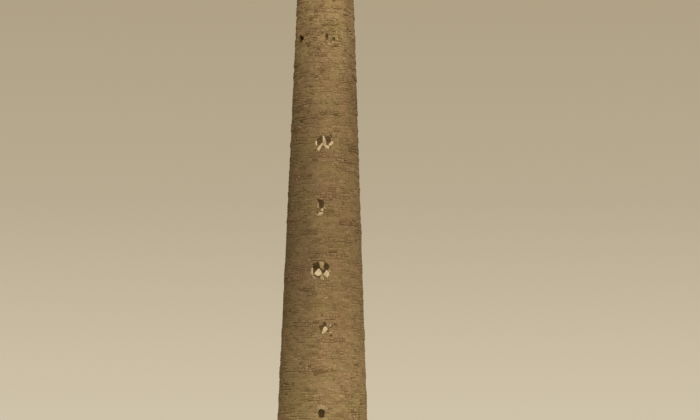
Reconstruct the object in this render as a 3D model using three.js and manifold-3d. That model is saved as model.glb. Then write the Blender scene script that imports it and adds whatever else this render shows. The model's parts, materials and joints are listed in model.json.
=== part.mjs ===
// Tall, slender, round tower of coursed rubble, in millimetres, +Z up.
// The origin is the centre of the ground floor slab's underside, at ground level. The front faces -Y.
// An azimuth is measured round the tower from the front, positive towards +X.

import * as THREE from "three";
import { mergeVertices } from "three/addons/utils/BufferGeometryUtils.js";
import Module from "manifold-3d";

const wasm = await Module();
wasm.setup();

// Shaft: radius of the mortar face at the ground, and how far it leans in for each millimetre of height
const FOOT_RADIUS = 2390;
const BATTER = 0.0368;
const SIDES = 72;

// Each lift of the shaft has its own wall thickness, and the ledge where it steps carries a floor
const LIFTS = {
  base: { foot: 0, head: 3300, wall: 840 },
  lower: { foot: 3300, head: 7200, wall: 790 },
  middle: { foot: 7200, head: 13700, wall: 740 },
  high: { foot: 13700, head: 16200, wall: 690 },
  upper: { foot: 16200, head: 20800, wall: 690 },
  lookout: { foot: 20800, head: 25600, wall: 590 },
  top: { foot: 25600, head: 30500, wall: 590 },
};

// Each lift is a ring of four segments; the front one is off centre so that no opening meets a joint
const QUARTERS = { front: 15, right: 105, back: 195, left: -75 };
const QUARTER_HALF_ANGLE = 45;
const JOINT = 0.3;
const REACH = 4000;
const OVERCUT = 50;

// Doorway in the base lift: a round-arched frame of dressed stone, open, with a threshold
const DOOR = { halfWidth: 425, springing: 1650, frame: 200, frameFront: 2350, frameDepth: 350 };
const THRESHOLD = { height: 150, front: 2430, back: 1400 };

const GROUND_FLOOR_THICKNESS = 150;
const LOOKOUT_FLOOR = { thickness: 120, hatchSide: 600, hatchCentre: 450 };

// Infill stones of the openings: how deep they are bedded and how far they stand proud of the face
const STONE_DEPTH = 280;
const STONE_PROUD = 12;

// Openings on the front. Outlines are in the plane of the wall face: right of and above the centre.
const FIRST_LIGHT = {
  azimuth: -1.2,
  height: 5020,
  halfWidth: 168,
  springing: 25,
  footHalfWidth: 115,
  foot: -225,
  hoodWidth: 200,
  hoodDepth: 220,
};

const SECOND_LIGHT = {
  azimuth: 0.4,
  height: 9195,
  outline: [
    [65, 295],
    [25, 260],
    [-10, 200],
    [-20, 140],
    [-60, 115],
    [-170, 95],
    [-210, 40],
    [-200, -20],
    [-165, -80],
    [-170, -210],
    [-145, -255],
    [-70, -245],
    [-55, -305],
    [10, -305],
    [80, -225],
    [170, -125],
    [230, -90],
    [175, -10],
    [125, 40],
    [150, 80],
    [155, 140],
    [135, 210],
    [105, 265],
  ],
  stones: {
    leaning_stone: [
      [50, 55],
      [125, 40],
      [175, -10],
      [230, -90],
      [170, -125],
      [80, -225],
      [10, -305],
      [-55, -305],
      [-70, -245],
      [-60, -165],
      [0, -30],
    ],
  },
};

const LOWER_ROSETTE = {
  azimuth: -3.2,
  height: 12015,
  outline: [
    [-420, 325],
    [-335, 370],
    [-205, 420],
    [-120, 435],
    [5, 450],
    [130, 440],
    [140, 365],
    [190, 380],
    [300, 370],
    [340, 295],
    [415, 235],
    [345, 100],
    [325, -10],
    [385, -110],
    [385, -240],
    [335, -295],
    [315, -360],
    [280, -355],
    [205, -275],
    [140, -240],
    [130, -315],
    [150, -395],
    [125, -465],
    [80, -465],
    [-45, -410],
    [-60, -340],
    [-155, -365],
    [-205, -355],
    [-265, -290],
    [-320, -235],
    [-310, -195],
    [-355, -160],
    [-405, -140],
    [-410, -230],
    [-475, -200],
    [-505, -5],
    [-490, 140],
    [-415, 145],
  ],
  stones: {
    top_wedge: [
      [-120, 435],
      [5, 450],
      [130, 440],
      [140, 365],
      [105, 160],
      [140, 50],
      [90, -35],
      [30, 80],
      [-55, 140],
      [-85, 230],
    ],
    left_stone: [
      [-415, 145],
      [-405, -140],
      [-410, -230],
      [-475, -200],
      [-505, -5],
      [-490, 140],
    ],
    left_diamond: [
      [-140, 105],
      [-85, 85],
      [-5, -50],
      [30, -135],
      [-40, -220],
      [-130, -280],
      [-190, -275],
      [-310, -195],
      [-355, -160],
      [-325, -100],
      [-230, 15],
    ],
    right_diamond: [
      [260, 40],
      [325, -10],
      [385, -110],
      [385, -240],
      [335, -295],
      [315, -360],
      [280, -355],
      [205, -275],
      [140, -240],
      [100, -155],
      [195, -60],
    ],
    sill: [
      [30, -135],
      [100, -155],
      [140, -240],
      [130, -315],
      [150, -395],
      [125, -465],
      [80, -465],
      [-45, -410],
      [-60, -340],
      [-40, -220],
    ],
  },
};

const THIRD_LIGHT = {
  azimuth: -4.0,
  height: 15345,
  outline: [
    [-215, 245],
    [-155, 265],
    [-105, 225],
    [65, 210],
    [110, 160],
    [135, 100],
    [135, 0],
    [100, -130],
    [75, -200],
    [110, -270],
    [130, -340],
    [100, -375],
    [-5, -365],
    [-20, -240],
    [-90, -175],
    [-115, -75],
    [-130, 90],
    [-180, 155],
  ],
  stones: {
    sill: [
      [75, -200],
      [110, -270],
      [130, -340],
      [100, -375],
      [-5, -365],
      [-20, -240],
    ],
  },
};

const UPPER_ROSETTE = {
  azimuth: -0.5,
  height: 18445,
  outline: [
    [-80, 380],
    [-155, 370],
    [-210, 325],
    [-255, 265],
    [-315, 230],
    [-365, 180],
    [-360, 110],
    [-410, 130],
    [-450, 35],
    [-435, -70],
    [-405, -140],
    [-350, -145],
    [-295, -215],
    [-335, -290],
    [-355, -355],
    [-305, -410],
    [-260, -415],
    [-175, -295],
    [-160, -335],
    [-115, -350],
    [-55, -330],
    [50, -235],
    [85, -275],
    [165, -300],
    [230, -285],
    [245, -235],
    [220, -155],
    [295, -155],
    [355, -120],
    [460, -25],
    [460, 40],
    [410, 85],
    [355, 90],
    [325, 125],
    [310, 175],
    [335, 230],
    [320, 290],
    [270, 335],
    [110, 325],
    [10, 300],
    [-20, 365],
  ],
  stones: {
    mullion: [
      [-80, 380],
      [-20, 365],
      [10, 300],
      [55, 190],
      [90, 110],
      [95, -45],
      [85, -65],
      [-15, -85],
      [-65, 25],
      [-75, 240],
    ],
    left_leg: [
      [-65, 25],
      [-15, -85],
      [-40, -145],
      [-95, -160],
      [-145, -225],
      [-175, -295],
      [-260, -415],
      [-305, -410],
      [-355, -355],
      [-335, -290],
      [-295, -215],
      [-195, -110],
      [-145, -40],
    ],
    right_leg: [
      [-15, -85],
      [85, -65],
      [130, -110],
      [220, -155],
      [245, -235],
      [230, -285],
      [165, -300],
      [85, -275],
      [50, -235],
      [15, -175],
      [-40, -145],
    ],
    left_stone: [
      [-360, 110],
      [-350, -145],
      [-405, -140],
      [-435, -70],
      [-450, 35],
      [-410, 130],
    ],
    right_stone: [
      [355, 90],
      [410, 85],
      [460, 40],
      [460, -25],
      [355, -120],
      [295, -155],
      [220, -155],
      [240, -50],
      [310, 20],
    ],
  },
};

// Openings of the lookout stage, and the plain lights that repeat the storeys on the back
const TOP_SLOT = {
  azimuth: 2.9,
  height: 23895,
  outline: [
    [-60, 165],
    [-20, 200],
    [30, 175],
    [75, 110],
    [80, 10],
    [70, -115],
    [55, -185],
    [15, -180],
    [-40, -120],
    [-85, -60],
    [-75, 60],
  ],
};
const SIDE_WINDOW = {
  azimuth: -54,
  height: 23890,
  outline: [
    [-150, 290],
    [-70, 245],
    [40, 190],
    [135, 120],
    [190, 40],
    [165, -40],
    [60, -150],
    [-50, -235],
    [-140, -230],
  ],
};
const BACK_AZIMUTH = 180;
const BACK_LIGHT = { width: 340, tall: 480 };
const BACK_LIGHT_HEIGHTS = { lower: 6200, middle: 10700, upper: 17000, lookout: 22600 };

// Blind sockets where a facing stone has fallen out
const SOCKET_DEPTH = 220;
const SOCKETS = {
  lookout: [
    {
      azimuth: 15.5,
      height: 23790,
      outline: [
        [-40, 50],
        [0, 95],
        [55, 100],
        [75, 50],
        [60, -55],
        [5, -100],
        [-55, -95],
        [-75, -40],
      ],
    },
  ],
  middle: [
    {
      azimuth: 0.4,
      height: 9195,
      outline: [
        [175, -160],
        [240, -130],
        [275, -145],
        [255, -190],
        [190, -210],
      ],
    },
    {
      azimuth: 0.4,
      height: 9195,
      outline: [
        [310, -380],
        [375, -340],
        [445, -350],
        [440, -400],
        [390, -435],
        [330, -445],
      ],
    },
  ],
};

// Cap: a projecting eaves course, a hollow cone of masonry, its solid point and a capstone
const EAVES = { height: 240, projection: 95, chamfer: 90, bedding: 20 };
const CAP = { footRadius: 1330, pointRadius: 170, lowerHeight: 1300, upperHeight: 1000, throatRadius: 280 };
const CAPSTONE = { neckRadius: 150, bellyRadius: 190, bellyHeight: 90, shoulderHeight: 200, height: 300 };

const rubble = new THREE.MeshStandardMaterial({ color: 0x856b49, roughness: 0.95, metalness: 0 });
const paleStone = new THREE.MeshStandardMaterial({ color: 0xb09a72, roughness: 0.9, metalness: 0 });
const floorStone = new THREE.MeshStandardMaterial({ color: 0x7d6b52, roughness: 0.95, metalness: 0 });

const tower = new THREE.Group();

function faceRadius(height) {
  return FOOT_RADIUS - BATTER * height;
}

function addMesh(parent, name, geometry, material) {
  const mesh = new THREE.Mesh(geometry, material);
  mesh.name = name;
  parent.add(mesh);
}

// Solids and cutting

function solidOf(geometry) {
  const bare = new THREE.BufferGeometry();
  bare.setAttribute("position", geometry.getAttribute("position").clone());
  if (geometry.index) {
    bare.setIndex(geometry.index.clone());
  }
  const merged = mergeVertices(bare, 1e-3);
  const mesh = new wasm.Mesh({
    numProp: 3,
    vertProperties: merged.getAttribute("position").array,
    triVerts: new Uint32Array(merged.index.array),
  });
  return new wasm.Manifold(mesh);
}

function geometryOf(solid) {
  const mesh = solid.getMesh();
  const geometry = new THREE.BufferGeometry();
  geometry.setAttribute("position", new THREE.BufferAttribute(mesh.vertProperties, 3));
  geometry.setIndex(new THREE.BufferAttribute(mesh.triVerts, 1));
  geometry.computeVertexNormals();
  return geometry;
}

// Profile points are [radius, height]; the turned solid stands on Z with a corner at azimuth 0
function turned(profile) {
  const points = profile.map(([radius, height]) => new THREE.Vector2(radius, height));
  const geometry = new THREE.LatheGeometry(points, SIDES);
  geometry.rotateX(Math.PI / 2);
  return geometry;
}

function turnedRing(foot, head, outer, inner) {
  return turned([
    [inner(foot), foot],
    [outer(foot), foot],
    [outer(head), head],
    [inner(head), head],
    [inner(foot), foot],
  ]);
}

// A group whose own X runs along the wall face, Y up it and Z out of it, at an azimuth and a height
function wallSeat(azimuth, height) {
  const seat = new THREE.Group();
  seat.position.z = height;
  seat.rotation.set(Math.PI / 2, 0, THREE.MathUtils.degToRad(azimuth), "ZYX");
  seat.updateMatrix();
  return seat;
}

function outlineShape(outline) {
  return new THREE.Shape(outline.map(([across, up]) => new THREE.Vector2(across, up)));
}

function prism(shape, back, front) {
  const geometry = new THREE.ExtrudeGeometry(shape, {
    depth: front - back,
    bevelEnabled: false,
    curveSegments: 12,
  });
  geometry.translate(0, 0, back);
  return geometry;
}

// Cuts a prism radially through a wall segment
function cutThrough(wall, shape, azimuth, height, back = 0) {
  const cutter = prism(shape, back, FOOT_RADIUS + OVERCUT);
  cutter.applyMatrix4(wallSeat(azimuth, height).matrix);
  return wall.subtract(solidOf(cutter));
}

// The outline moved in by a gap on every edge, for a stone bedded in a hole of the same outline
function insetOutline(outline, gap) {
  const signedArea = THREE.ShapeUtils.area(outline.map(([x, y]) => new THREE.Vector2(x, y)));
  const inward = Math.sign(signedArea);
  const edges = outline.map(([x, y], index) => {
    const [nextX, nextY] = outline[(index + 1) % outline.length];
    const length = Math.hypot(nextX - x, nextY - y);
    const run = [(nextX - x) / length, (nextY - y) / length];
    const start = [x - run[1] * gap * inward, y + run[0] * gap * inward];
    return { start, run };
  });
  return edges.map((edge, index) => {
    const before = edges[(index + edges.length - 1) % edges.length];
    const cross = before.run[0] * edge.run[1] - before.run[1] * edge.run[0];
    const gapX = edge.start[0] - before.start[0];
    const gapY = edge.start[1] - before.start[1];
    const along = (gapX * edge.run[1] - gapY * edge.run[0]) / cross;
    return [before.start[0] + before.run[0] * along, before.start[1] + before.run[1] * along];
  });
}

function rectangle(left, right, bottom, top) {
  return outlineShape([
    [left, bottom],
    [right, bottom],
    [right, top],
    [left, top],
  ]);
}

// Walls

function wallRing(lift, foot = lift.foot, head = lift.head) {
  return solidOf(turnedRing(foot, head, faceRadius, (height) => faceRadius(height) - lift.wall));
}

// A square-cornered wedge that keeps one quarter of a ring, short of its neighbours by half a joint
function quarterWedge(centreAzimuth) {
  const apex = (JOINT / 2) * Math.SQRT2;
  const corner = (azimuth, distance) => {
    const angle = THREE.MathUtils.degToRad(azimuth);
    return [Math.sin(angle) * distance, -Math.cos(angle) * distance];
  };
  const tip = corner(centreAzimuth, apex);
  const points = [
    [0, 0],
    corner(centreAzimuth - QUARTER_HALF_ANGLE, REACH),
    corner(centreAzimuth, REACH * Math.SQRT2),
    corner(centreAzimuth + QUARTER_HALF_ANGLE, REACH),
  ].map(([x, y]) => [x + tip[0], y + tip[1]]);
  return solidOf(prism(outlineShape(points), -OVERCUT, LIFTS.top.head + OVERCUT));
}

function wallSegment(lift, quarter) {
  return wallRing(lift).intersect(quarterWedge(QUARTERS[quarter]));
}

function buildPlainWalls() {
  for (const [liftName, lift] of Object.entries(LIFTS)) {
    for (const quarter of ["right", "back", "left"]) {
      let wall = wallSegment(lift, quarter);
      const lightHeight = BACK_LIGHT_HEIGHTS[liftName];
      if (quarter === "back" && lightHeight) {
        const { width, tall } = BACK_LIGHT;
        wall = cutThrough(
          wall,
          rectangle(-width / 2, width / 2, -tall / 2, tall / 2),
          BACK_AZIMUTH,
          lightHeight,
        );
      }
      if (quarter === "left" && liftName === "lookout") {
        wall = cutThrough(wall, outlineShape(SIDE_WINDOW.outline), SIDE_WINDOW.azimuth, SIDE_WINDOW.height);
      }
      addMesh(tower, `${liftName}_wall_${quarter}`, geometryOf(wall), rubble);
    }
  }
}

function buildDoorwayWalls() {
  const frameHalfWidth = DOOR.halfWidth + DOOR.frame;
  const beside = wallRing(LIFTS.base, 0, DOOR.springing).intersect(quarterWedge(QUARTERS.front));
  for (const [side, left, right] of [
    ["left", -REACH, -frameHalfWidth],
    ["right", frameHalfWidth, REACH],
  ]) {
    const half = solidOf(prism(rectangle(left, right, -REACH, 0), -OVERCUT, DOOR.springing + OVERCUT));
    addMesh(tower, `base_wall_door_pier_${side}`, geometryOf(beside.intersect(half)), rubble);
  }
  const archHole = new THREE.Shape();
  archHole.moveTo(-frameHalfWidth, -OVERCUT);
  archHole.lineTo(frameHalfWidth, -OVERCUT);
  archHole.absarc(0, 0, frameHalfWidth, 0, Math.PI, false);
  const above = wallRing(LIFTS.base, DOOR.springing).intersect(quarterWedge(QUARTERS.front));
  const overDoor = cutThrough(above, archHole, 0, DOOR.springing);
  addMesh(tower, "base_wall_over_door", geometryOf(overDoor), rubble);
}

function buildDoorFrame() {
  const seat = wallSeat(0, 0);
  const outer = DOOR.halfWidth + DOOR.frame - JOINT;
  const back = DOOR.frameFront - DOOR.frameDepth;
  for (const [side, left, right] of [
    ["left", -outer, -DOOR.halfWidth],
    ["right", DOOR.halfWidth, outer],
  ]) {
    const jamb = rectangle(left, right, THRESHOLD.height + JOINT, DOOR.springing - JOINT);
    addMesh(seat, `door_jamb_${side}`, prism(jamb, back, DOOR.frameFront), paleStone);
  }
  const arch = new THREE.Shape();
  arch.absarc(0, DOOR.springing, outer, 0, Math.PI, false);
  arch.absarc(0, DOOR.springing, DOOR.halfWidth, Math.PI, 0, true);
  addMesh(seat, "door_arch", prism(arch, back, DOOR.frameFront), paleStone);

  const block = prism(rectangle(-outer, outer, 0, THRESHOLD.height), THRESHOLD.back, THRESHOLD.front);
  block.applyMatrix4(seat.matrix);
  const room = solidOf(floorDisc(-OVERCUT, THRESHOLD.height + OVERCUT, LIFTS.base.wall));
  addMesh(tower, "door_threshold", geometryOf(solidOf(block).subtract(room)), paleStone);
  tower.add(seat);
}

// Floors

function floorDisc(bottom, top, inset) {
  return turned([
    [0, bottom],
    [faceRadius(bottom) - inset, bottom],
    [faceRadius(top) - inset, top],
    [0, top],
  ]);
}

function buildFloors() {
  const ground = floorDisc(0, GROUND_FLOOR_THICKNESS, LIFTS.base.wall + JOINT);
  addMesh(tower, "ground_floor", ground, floorStone);

  const level = LIFTS.lookout.foot;
  const { thickness, hatchSide, hatchCentre } = LOOKOUT_FLOOR;
  const disc = solidOf(floorDisc(level, level + thickness, LIFTS.lookout.wall + JOINT));
  const hatch = new THREE.BoxGeometry(hatchSide, hatchSide, thickness + 2 * OVERCUT);
  hatch.translate(hatchCentre, 0, level + thickness / 2);
  addMesh(tower, "lookout_floor", geometryOf(disc.subtract(solidOf(hatch))), floorStone);
}

// Openings with bedded stones

function buildOpening(prefix, wall, opening) {
  const seat = wallSeat(opening.azimuth, opening.height);
  for (const [stoneName, outline] of Object.entries(opening.stones)) {
    const middle = outline.reduce((sum, [across]) => sum + across, 0) / outline.length;
    const front = Math.sqrt(faceRadius(opening.height) ** 2 - middle ** 2) + STONE_PROUD;
    const stone = prism(outlineShape(insetOutline(outline, JOINT)), front - STONE_DEPTH, front);
    addMesh(seat, `${prefix}_${stoneName}`, stone, paleStone);
  }
  tower.add(seat);
  return cutThrough(wall, outlineShape(opening.outline), opening.azimuth, opening.height);
}

// Round-headed light, narrower at its foot, under a hood of stones set in a shallow recess
function buildFirstLight(wall) {
  const { azimuth, height, halfWidth, springing, footHalfWidth, foot, hoodWidth, hoodDepth } = FIRST_LIGHT;
  const light = new THREE.Shape();
  light.moveTo(-footHalfWidth, foot);
  light.lineTo(footHalfWidth, foot);
  light.lineTo(halfWidth, springing);
  light.absarc(0, springing, halfWidth, 0, Math.PI, false);

  const hoodHole = new THREE.Shape();
  hoodHole.absarc(0, springing, halfWidth + hoodWidth, 0, Math.PI, false);

  const hood = new THREE.Shape();
  hood.absarc(0, springing + JOINT, halfWidth + hoodWidth - 2 * JOINT, 0, Math.PI, false);
  hood.absarc(0, springing + JOINT, halfWidth, Math.PI, 0, true);

  const face = faceRadius(height);
  const back = face - hoodDepth;
  const seat = wallSeat(azimuth, height);
  addMesh(seat, "first_light_hood", prism(hood, back + JOINT, face + STONE_PROUD), paleStone);
  tower.add(seat);
  const recessed = cutThrough(wall, hoodHole, azimuth, height, back);
  return cutThrough(recessed, light, azimuth, height);
}

function cutSockets(wall, liftName) {
  const cut = (solid, { azimuth, height, outline }) => {
    const back = faceRadius(height) - SOCKET_DEPTH;
    return cutThrough(solid, outlineShape(outline), azimuth, height, back);
  };
  return SOCKETS[liftName].reduce(cut, wall);
}

function buildFrontWalls() {
  let lower = wallSegment(LIFTS.lower, "front");
  lower = buildFirstLight(lower);
  addMesh(tower, "lower_wall_front", geometryOf(lower), rubble);

  let middle = wallSegment(LIFTS.middle, "front");
  middle = buildOpening("second_light", middle, SECOND_LIGHT);
  middle = buildOpening("lower_rosette", middle, LOWER_ROSETTE);
  middle = cutSockets(middle, "middle");
  addMesh(tower, "middle_wall_front", geometryOf(middle), rubble);

  let high = wallSegment(LIFTS.high, "front");
  high = buildOpening("third_light", high, THIRD_LIGHT);
  addMesh(tower, "high_wall_front", geometryOf(high), rubble);

  let upper = wallSegment(LIFTS.upper, "front");
  upper = buildOpening("upper_rosette", upper, UPPER_ROSETTE);
  addMesh(tower, "upper_wall_front", geometryOf(upper), rubble);

  let lookout = wallSegment(LIFTS.lookout, "front");
  lookout = cutThrough(lookout, outlineShape(TOP_SLOT.outline), TOP_SLOT.azimuth, TOP_SLOT.height);
  lookout = cutSockets(lookout, "lookout");
  addMesh(tower, "lookout_wall_front", geometryOf(lookout), rubble);

  addMesh(tower, "top_wall_front", geometryOf(wallSegment(LIFTS.top, "front")), rubble);
}

// Cap

function buildCap() {
  const foot = LIFTS.top.head;
  const wallFace = faceRadius(foot);
  const shaftBore = wallFace - LIFTS.top.wall;
  const eavesTop = foot + EAVES.height;
  const eaves = turned([
    [shaftBore, foot],
    [wallFace + EAVES.bedding, foot],
    [wallFace + EAVES.projection, foot + EAVES.chamfer],
    [wallFace + EAVES.projection, eavesTop],
    [shaftBore, eavesTop],
    [shaftBore, foot],
  ]);
  addMesh(tower, "eaves_course", eaves, rubble);

  const capHeight = CAP.lowerHeight + CAP.upperHeight;
  const slope = (CAP.footRadius - CAP.pointRadius) / capHeight;
  const shoulder = eavesTop + CAP.lowerHeight;
  const shoulderRadius = CAP.footRadius - slope * CAP.lowerHeight;
  const lower = turned([
    [shaftBore, eavesTop],
    [CAP.footRadius, eavesTop],
    [shoulderRadius, shoulder],
    [CAP.throatRadius, shoulder],
    [shaftBore, eavesTop],
  ]);
  addMesh(tower, "cap_lower", lower, rubble);

  const point = eavesTop + capHeight;
  const upper = turned([
    [0, shoulder],
    [shoulderRadius, shoulder],
    [CAP.pointRadius, point],
    [0, point],
  ]);
  addMesh(tower, "cap_upper", upper, rubble);

  const capstone = turned([
    [0, point],
    [CAPSTONE.neckRadius, point],
    [CAPSTONE.bellyRadius, point + CAPSTONE.bellyHeight],
    [CAPSTONE.neckRadius, point + CAPSTONE.shoulderHeight],
    [0, point + CAPSTONE.height],
  ]);
  addMesh(tower, "capstone", capstone, paleStone);
}

buildPlainWalls();
buildDoorwayWalls();
buildDoorFrame();
buildFloors();
buildFrontWalls();
buildCap();

export default tower;
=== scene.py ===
import json
import math
import random

import bmesh
import bpy
import numpy as np
from bpy.props import FloatProperty, FloatVectorProperty, IntProperty, PointerProperty
from bpy.types import Operator, Panel, PropertyGroup
from mathutils import Matrix, Vector, noise

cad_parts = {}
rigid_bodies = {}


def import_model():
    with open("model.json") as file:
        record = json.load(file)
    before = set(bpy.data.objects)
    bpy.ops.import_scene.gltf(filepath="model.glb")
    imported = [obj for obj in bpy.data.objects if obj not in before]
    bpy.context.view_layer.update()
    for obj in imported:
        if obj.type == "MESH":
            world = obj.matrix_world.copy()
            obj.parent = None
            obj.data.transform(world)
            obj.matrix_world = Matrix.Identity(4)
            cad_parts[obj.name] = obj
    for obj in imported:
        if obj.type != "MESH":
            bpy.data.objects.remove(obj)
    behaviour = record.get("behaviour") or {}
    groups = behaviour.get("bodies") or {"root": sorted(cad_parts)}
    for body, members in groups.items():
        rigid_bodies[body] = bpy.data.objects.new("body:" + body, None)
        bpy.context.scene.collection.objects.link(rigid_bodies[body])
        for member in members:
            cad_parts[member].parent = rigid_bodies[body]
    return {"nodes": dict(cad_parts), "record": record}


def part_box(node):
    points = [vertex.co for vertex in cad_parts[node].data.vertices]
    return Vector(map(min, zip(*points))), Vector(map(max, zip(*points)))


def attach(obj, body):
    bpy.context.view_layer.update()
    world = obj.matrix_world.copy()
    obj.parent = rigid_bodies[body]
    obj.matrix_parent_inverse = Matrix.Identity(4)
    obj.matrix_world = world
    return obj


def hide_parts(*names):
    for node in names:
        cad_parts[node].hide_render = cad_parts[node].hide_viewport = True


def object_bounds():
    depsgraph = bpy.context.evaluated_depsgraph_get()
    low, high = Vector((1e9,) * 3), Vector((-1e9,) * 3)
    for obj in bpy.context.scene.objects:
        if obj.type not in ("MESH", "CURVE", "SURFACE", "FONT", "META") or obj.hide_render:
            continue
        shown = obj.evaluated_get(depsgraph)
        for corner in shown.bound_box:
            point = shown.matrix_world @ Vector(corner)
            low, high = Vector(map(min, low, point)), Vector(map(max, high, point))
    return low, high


bl_info = {
    "name": "Round rubble tower",
    "version": (1, 0, 0),
    "blender": (4, 5, 0),
    "location": "3D View > Sidebar > Tower",
    "description": "Dresses a tall round tower in coursed rubble, with pale stones about its openings",
    "category": "Object",
}

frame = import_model()
CAD_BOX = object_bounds()

# Lengths are in metres. An azimuth is measured round the tower from the front (-Y), in degrees towards +X.
# An outline is seen from outside, in the plane of the wall face: right of and above its centre.
SHAFT_LIFTS = ("base", "lower", "middle", "high", "upper", "lookout", "top")

# Finishes that more than one step uses
HAND_SPLIT = "Brown sandstone, hand split"
ROUGH_BROWN = "Brown sandstone, rough dressed"
ROUGH_PALE = "Pale limestone, rough dressed"
WORN_FLAGS = "Flagstone, worn"

OPENINGS = {
    "first_light": (-1.2, 5.02, [
        (-0.115, -0.225), (0.115, -0.225), (0.168, 0.025), (0.368, 0.025), (0.35, 0.139), (0.298, 0.241),
        (0.216, 0.323), (0.114, 0.375), (0, 0.393), (-0.114, 0.375), (-0.216, 0.323), (-0.298, 0.241),
        (-0.35, 0.139), (-0.368, 0.025), (-0.168, 0.025),
    ]),
    "second_light": (0.4, 9.195, [
        (0.065, 0.295), (0.025, 0.26), (-0.01, 0.2), (-0.02, 0.14), (-0.06, 0.115), (-0.17, 0.095),
        (-0.21, 0.04), (-0.2, -0.02), (-0.165, -0.08), (-0.17, -0.21), (-0.145, -0.255), (-0.07, -0.245),
        (-0.055, -0.305), (0.01, -0.305), (0.08, -0.225), (0.17, -0.125), (0.23, -0.09), (0.175, -0.01),
        (0.125, 0.04), (0.15, 0.08), (0.155, 0.14), (0.135, 0.21), (0.105, 0.265),
    ]),
    "lower_rosette": (-3.2, 12.015, [
        (-0.42, 0.325), (-0.335, 0.37), (-0.205, 0.42), (-0.12, 0.435), (0.005, 0.45), (0.13, 0.44),
        (0.14, 0.365), (0.19, 0.38), (0.3, 0.37), (0.34, 0.295), (0.415, 0.235), (0.345, 0.1),
        (0.325, -0.01), (0.385, -0.11), (0.385, -0.24), (0.335, -0.295), (0.315, -0.36), (0.28, -0.355),
        (0.205, -0.275), (0.14, -0.24), (0.13, -0.315), (0.15, -0.395), (0.125, -0.465), (0.08, -0.465),
        (-0.045, -0.41), (-0.06, -0.34), (-0.155, -0.365), (-0.205, -0.355), (-0.265, -0.29),
        (-0.32, -0.235), (-0.31, -0.195), (-0.355, -0.16), (-0.405, -0.14), (-0.41, -0.23), (-0.475, -0.2),
        (-0.505, -0.005), (-0.49, 0.14), (-0.415, 0.145),
    ]),
    "third_light": (-4, 15.345, [
        (-0.215, 0.245), (-0.155, 0.265), (-0.105, 0.225), (0.065, 0.21), (0.11, 0.16), (0.135, 0.1),
        (0.135, 0), (0.1, -0.13), (0.075, -0.2), (0.11, -0.27), (0.13, -0.34), (0.1, -0.375),
        (-0.005, -0.365), (-0.02, -0.24), (-0.09, -0.175), (-0.115, -0.075), (-0.13, 0.09), (-0.18, 0.155),
    ]),
    "upper_rosette": (-0.5, 18.445, [
        (-0.08, 0.38), (-0.155, 0.37), (-0.21, 0.325), (-0.255, 0.265), (-0.315, 0.23), (-0.365, 0.18),
        (-0.36, 0.11), (-0.41, 0.13), (-0.45, 0.035), (-0.435, -0.07), (-0.405, -0.14), (-0.35, -0.145),
        (-0.295, -0.215), (-0.335, -0.29), (-0.355, -0.355), (-0.305, -0.41), (-0.26, -0.415),
        (-0.175, -0.295), (-0.16, -0.335), (-0.115, -0.35), (-0.055, -0.33), (0.05, -0.235),
        (0.085, -0.275), (0.165, -0.3), (0.23, -0.285), (0.245, -0.235), (0.22, -0.155), (0.295, -0.155),
        (0.355, -0.12), (0.46, -0.025), (0.46, 0.04), (0.41, 0.085), (0.355, 0.09), (0.325, 0.125),
        (0.31, 0.175), (0.335, 0.23), (0.32, 0.29), (0.27, 0.335), (0.11, 0.325), (0.01, 0.3),
        (-0.02, 0.365),
    ]),
    "top_slot": (2.9, 23.895, [
        (-0.06, 0.165), (-0.02, 0.2), (0.03, 0.175), (0.075, 0.11), (0.08, 0.01), (0.07, -0.115),
        (0.055, -0.185), (0.015, -0.18), (-0.04, -0.12), (-0.085, -0.06), (-0.075, 0.06),
    ]),
    "side_window": (-54, 23.89, [
        (-0.15, 0.29), (-0.07, 0.245), (0.04, 0.19), (0.135, 0.12), (0.19, 0.04), (0.165, -0.04),
        (0.06, -0.15), (-0.05, -0.235), (-0.14, -0.23),
    ]),
}

# Small plain windows up the back, each with a lintel and a sill of brown stone
BACK_LIGHT = [(-0.17, -0.24), (0.17, -0.24), (0.17, 0.24), (-0.17, 0.24)]
BACK_LIGHTS = [(180, height, BACK_LIGHT) for height in (6.2, 10.7, 17.0, 22.6)]
LINTEL = [(-0.36, 0.25), (0.36, 0.26), (0.35, 0.4), (-0.35, 0.39)]
SILL = [(-0.33, -0.37), (0.33, -0.36), (0.34, -0.25), (-0.34, -0.255)]

# How pale each stone set in an opening is, from dim brown at 0.1 to the palest limestone at 1: one value, or
# one for its head and one for its foot
NODE_SHADES = {
    "second_light_leaning_stone": 1.0,
    "lower_rosette_top_wedge": (0.76, 0.2),
    "lower_rosette_left_stone": 0.78,
    "lower_rosette_left_diamond": 0.93,
    "lower_rosette_right_diamond": 0.88,
    "lower_rosette_sill": (0.32, 0.76),
    "third_light_sill": 0.8,
    "upper_rosette_mullion": (0.86, 0.72),
    "upper_rosette_left_leg": (0.76, 0.9),
    "upper_rosette_right_leg": (0.74, 0.98),
    "upper_rosette_left_stone": 0.88,
    "upper_rosette_right_stone": 0.92,
}

# The hood over the first light: its inner and outer radius, how far above the opening's centre it springs,
# the joint between its stones, and how pale each stone is, left to right. The joint is less than nothing, so
# that the worn edges still meet
HOOD_RADII = (0.167, 0.371)
HOOD_SPRINGING = 0.025
HOOD_JOINT = -0.006
HOOD_SHADES = [0.46, 0.5, 0.56, 0.6, 0.62, 0.56, 0.48]

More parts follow.
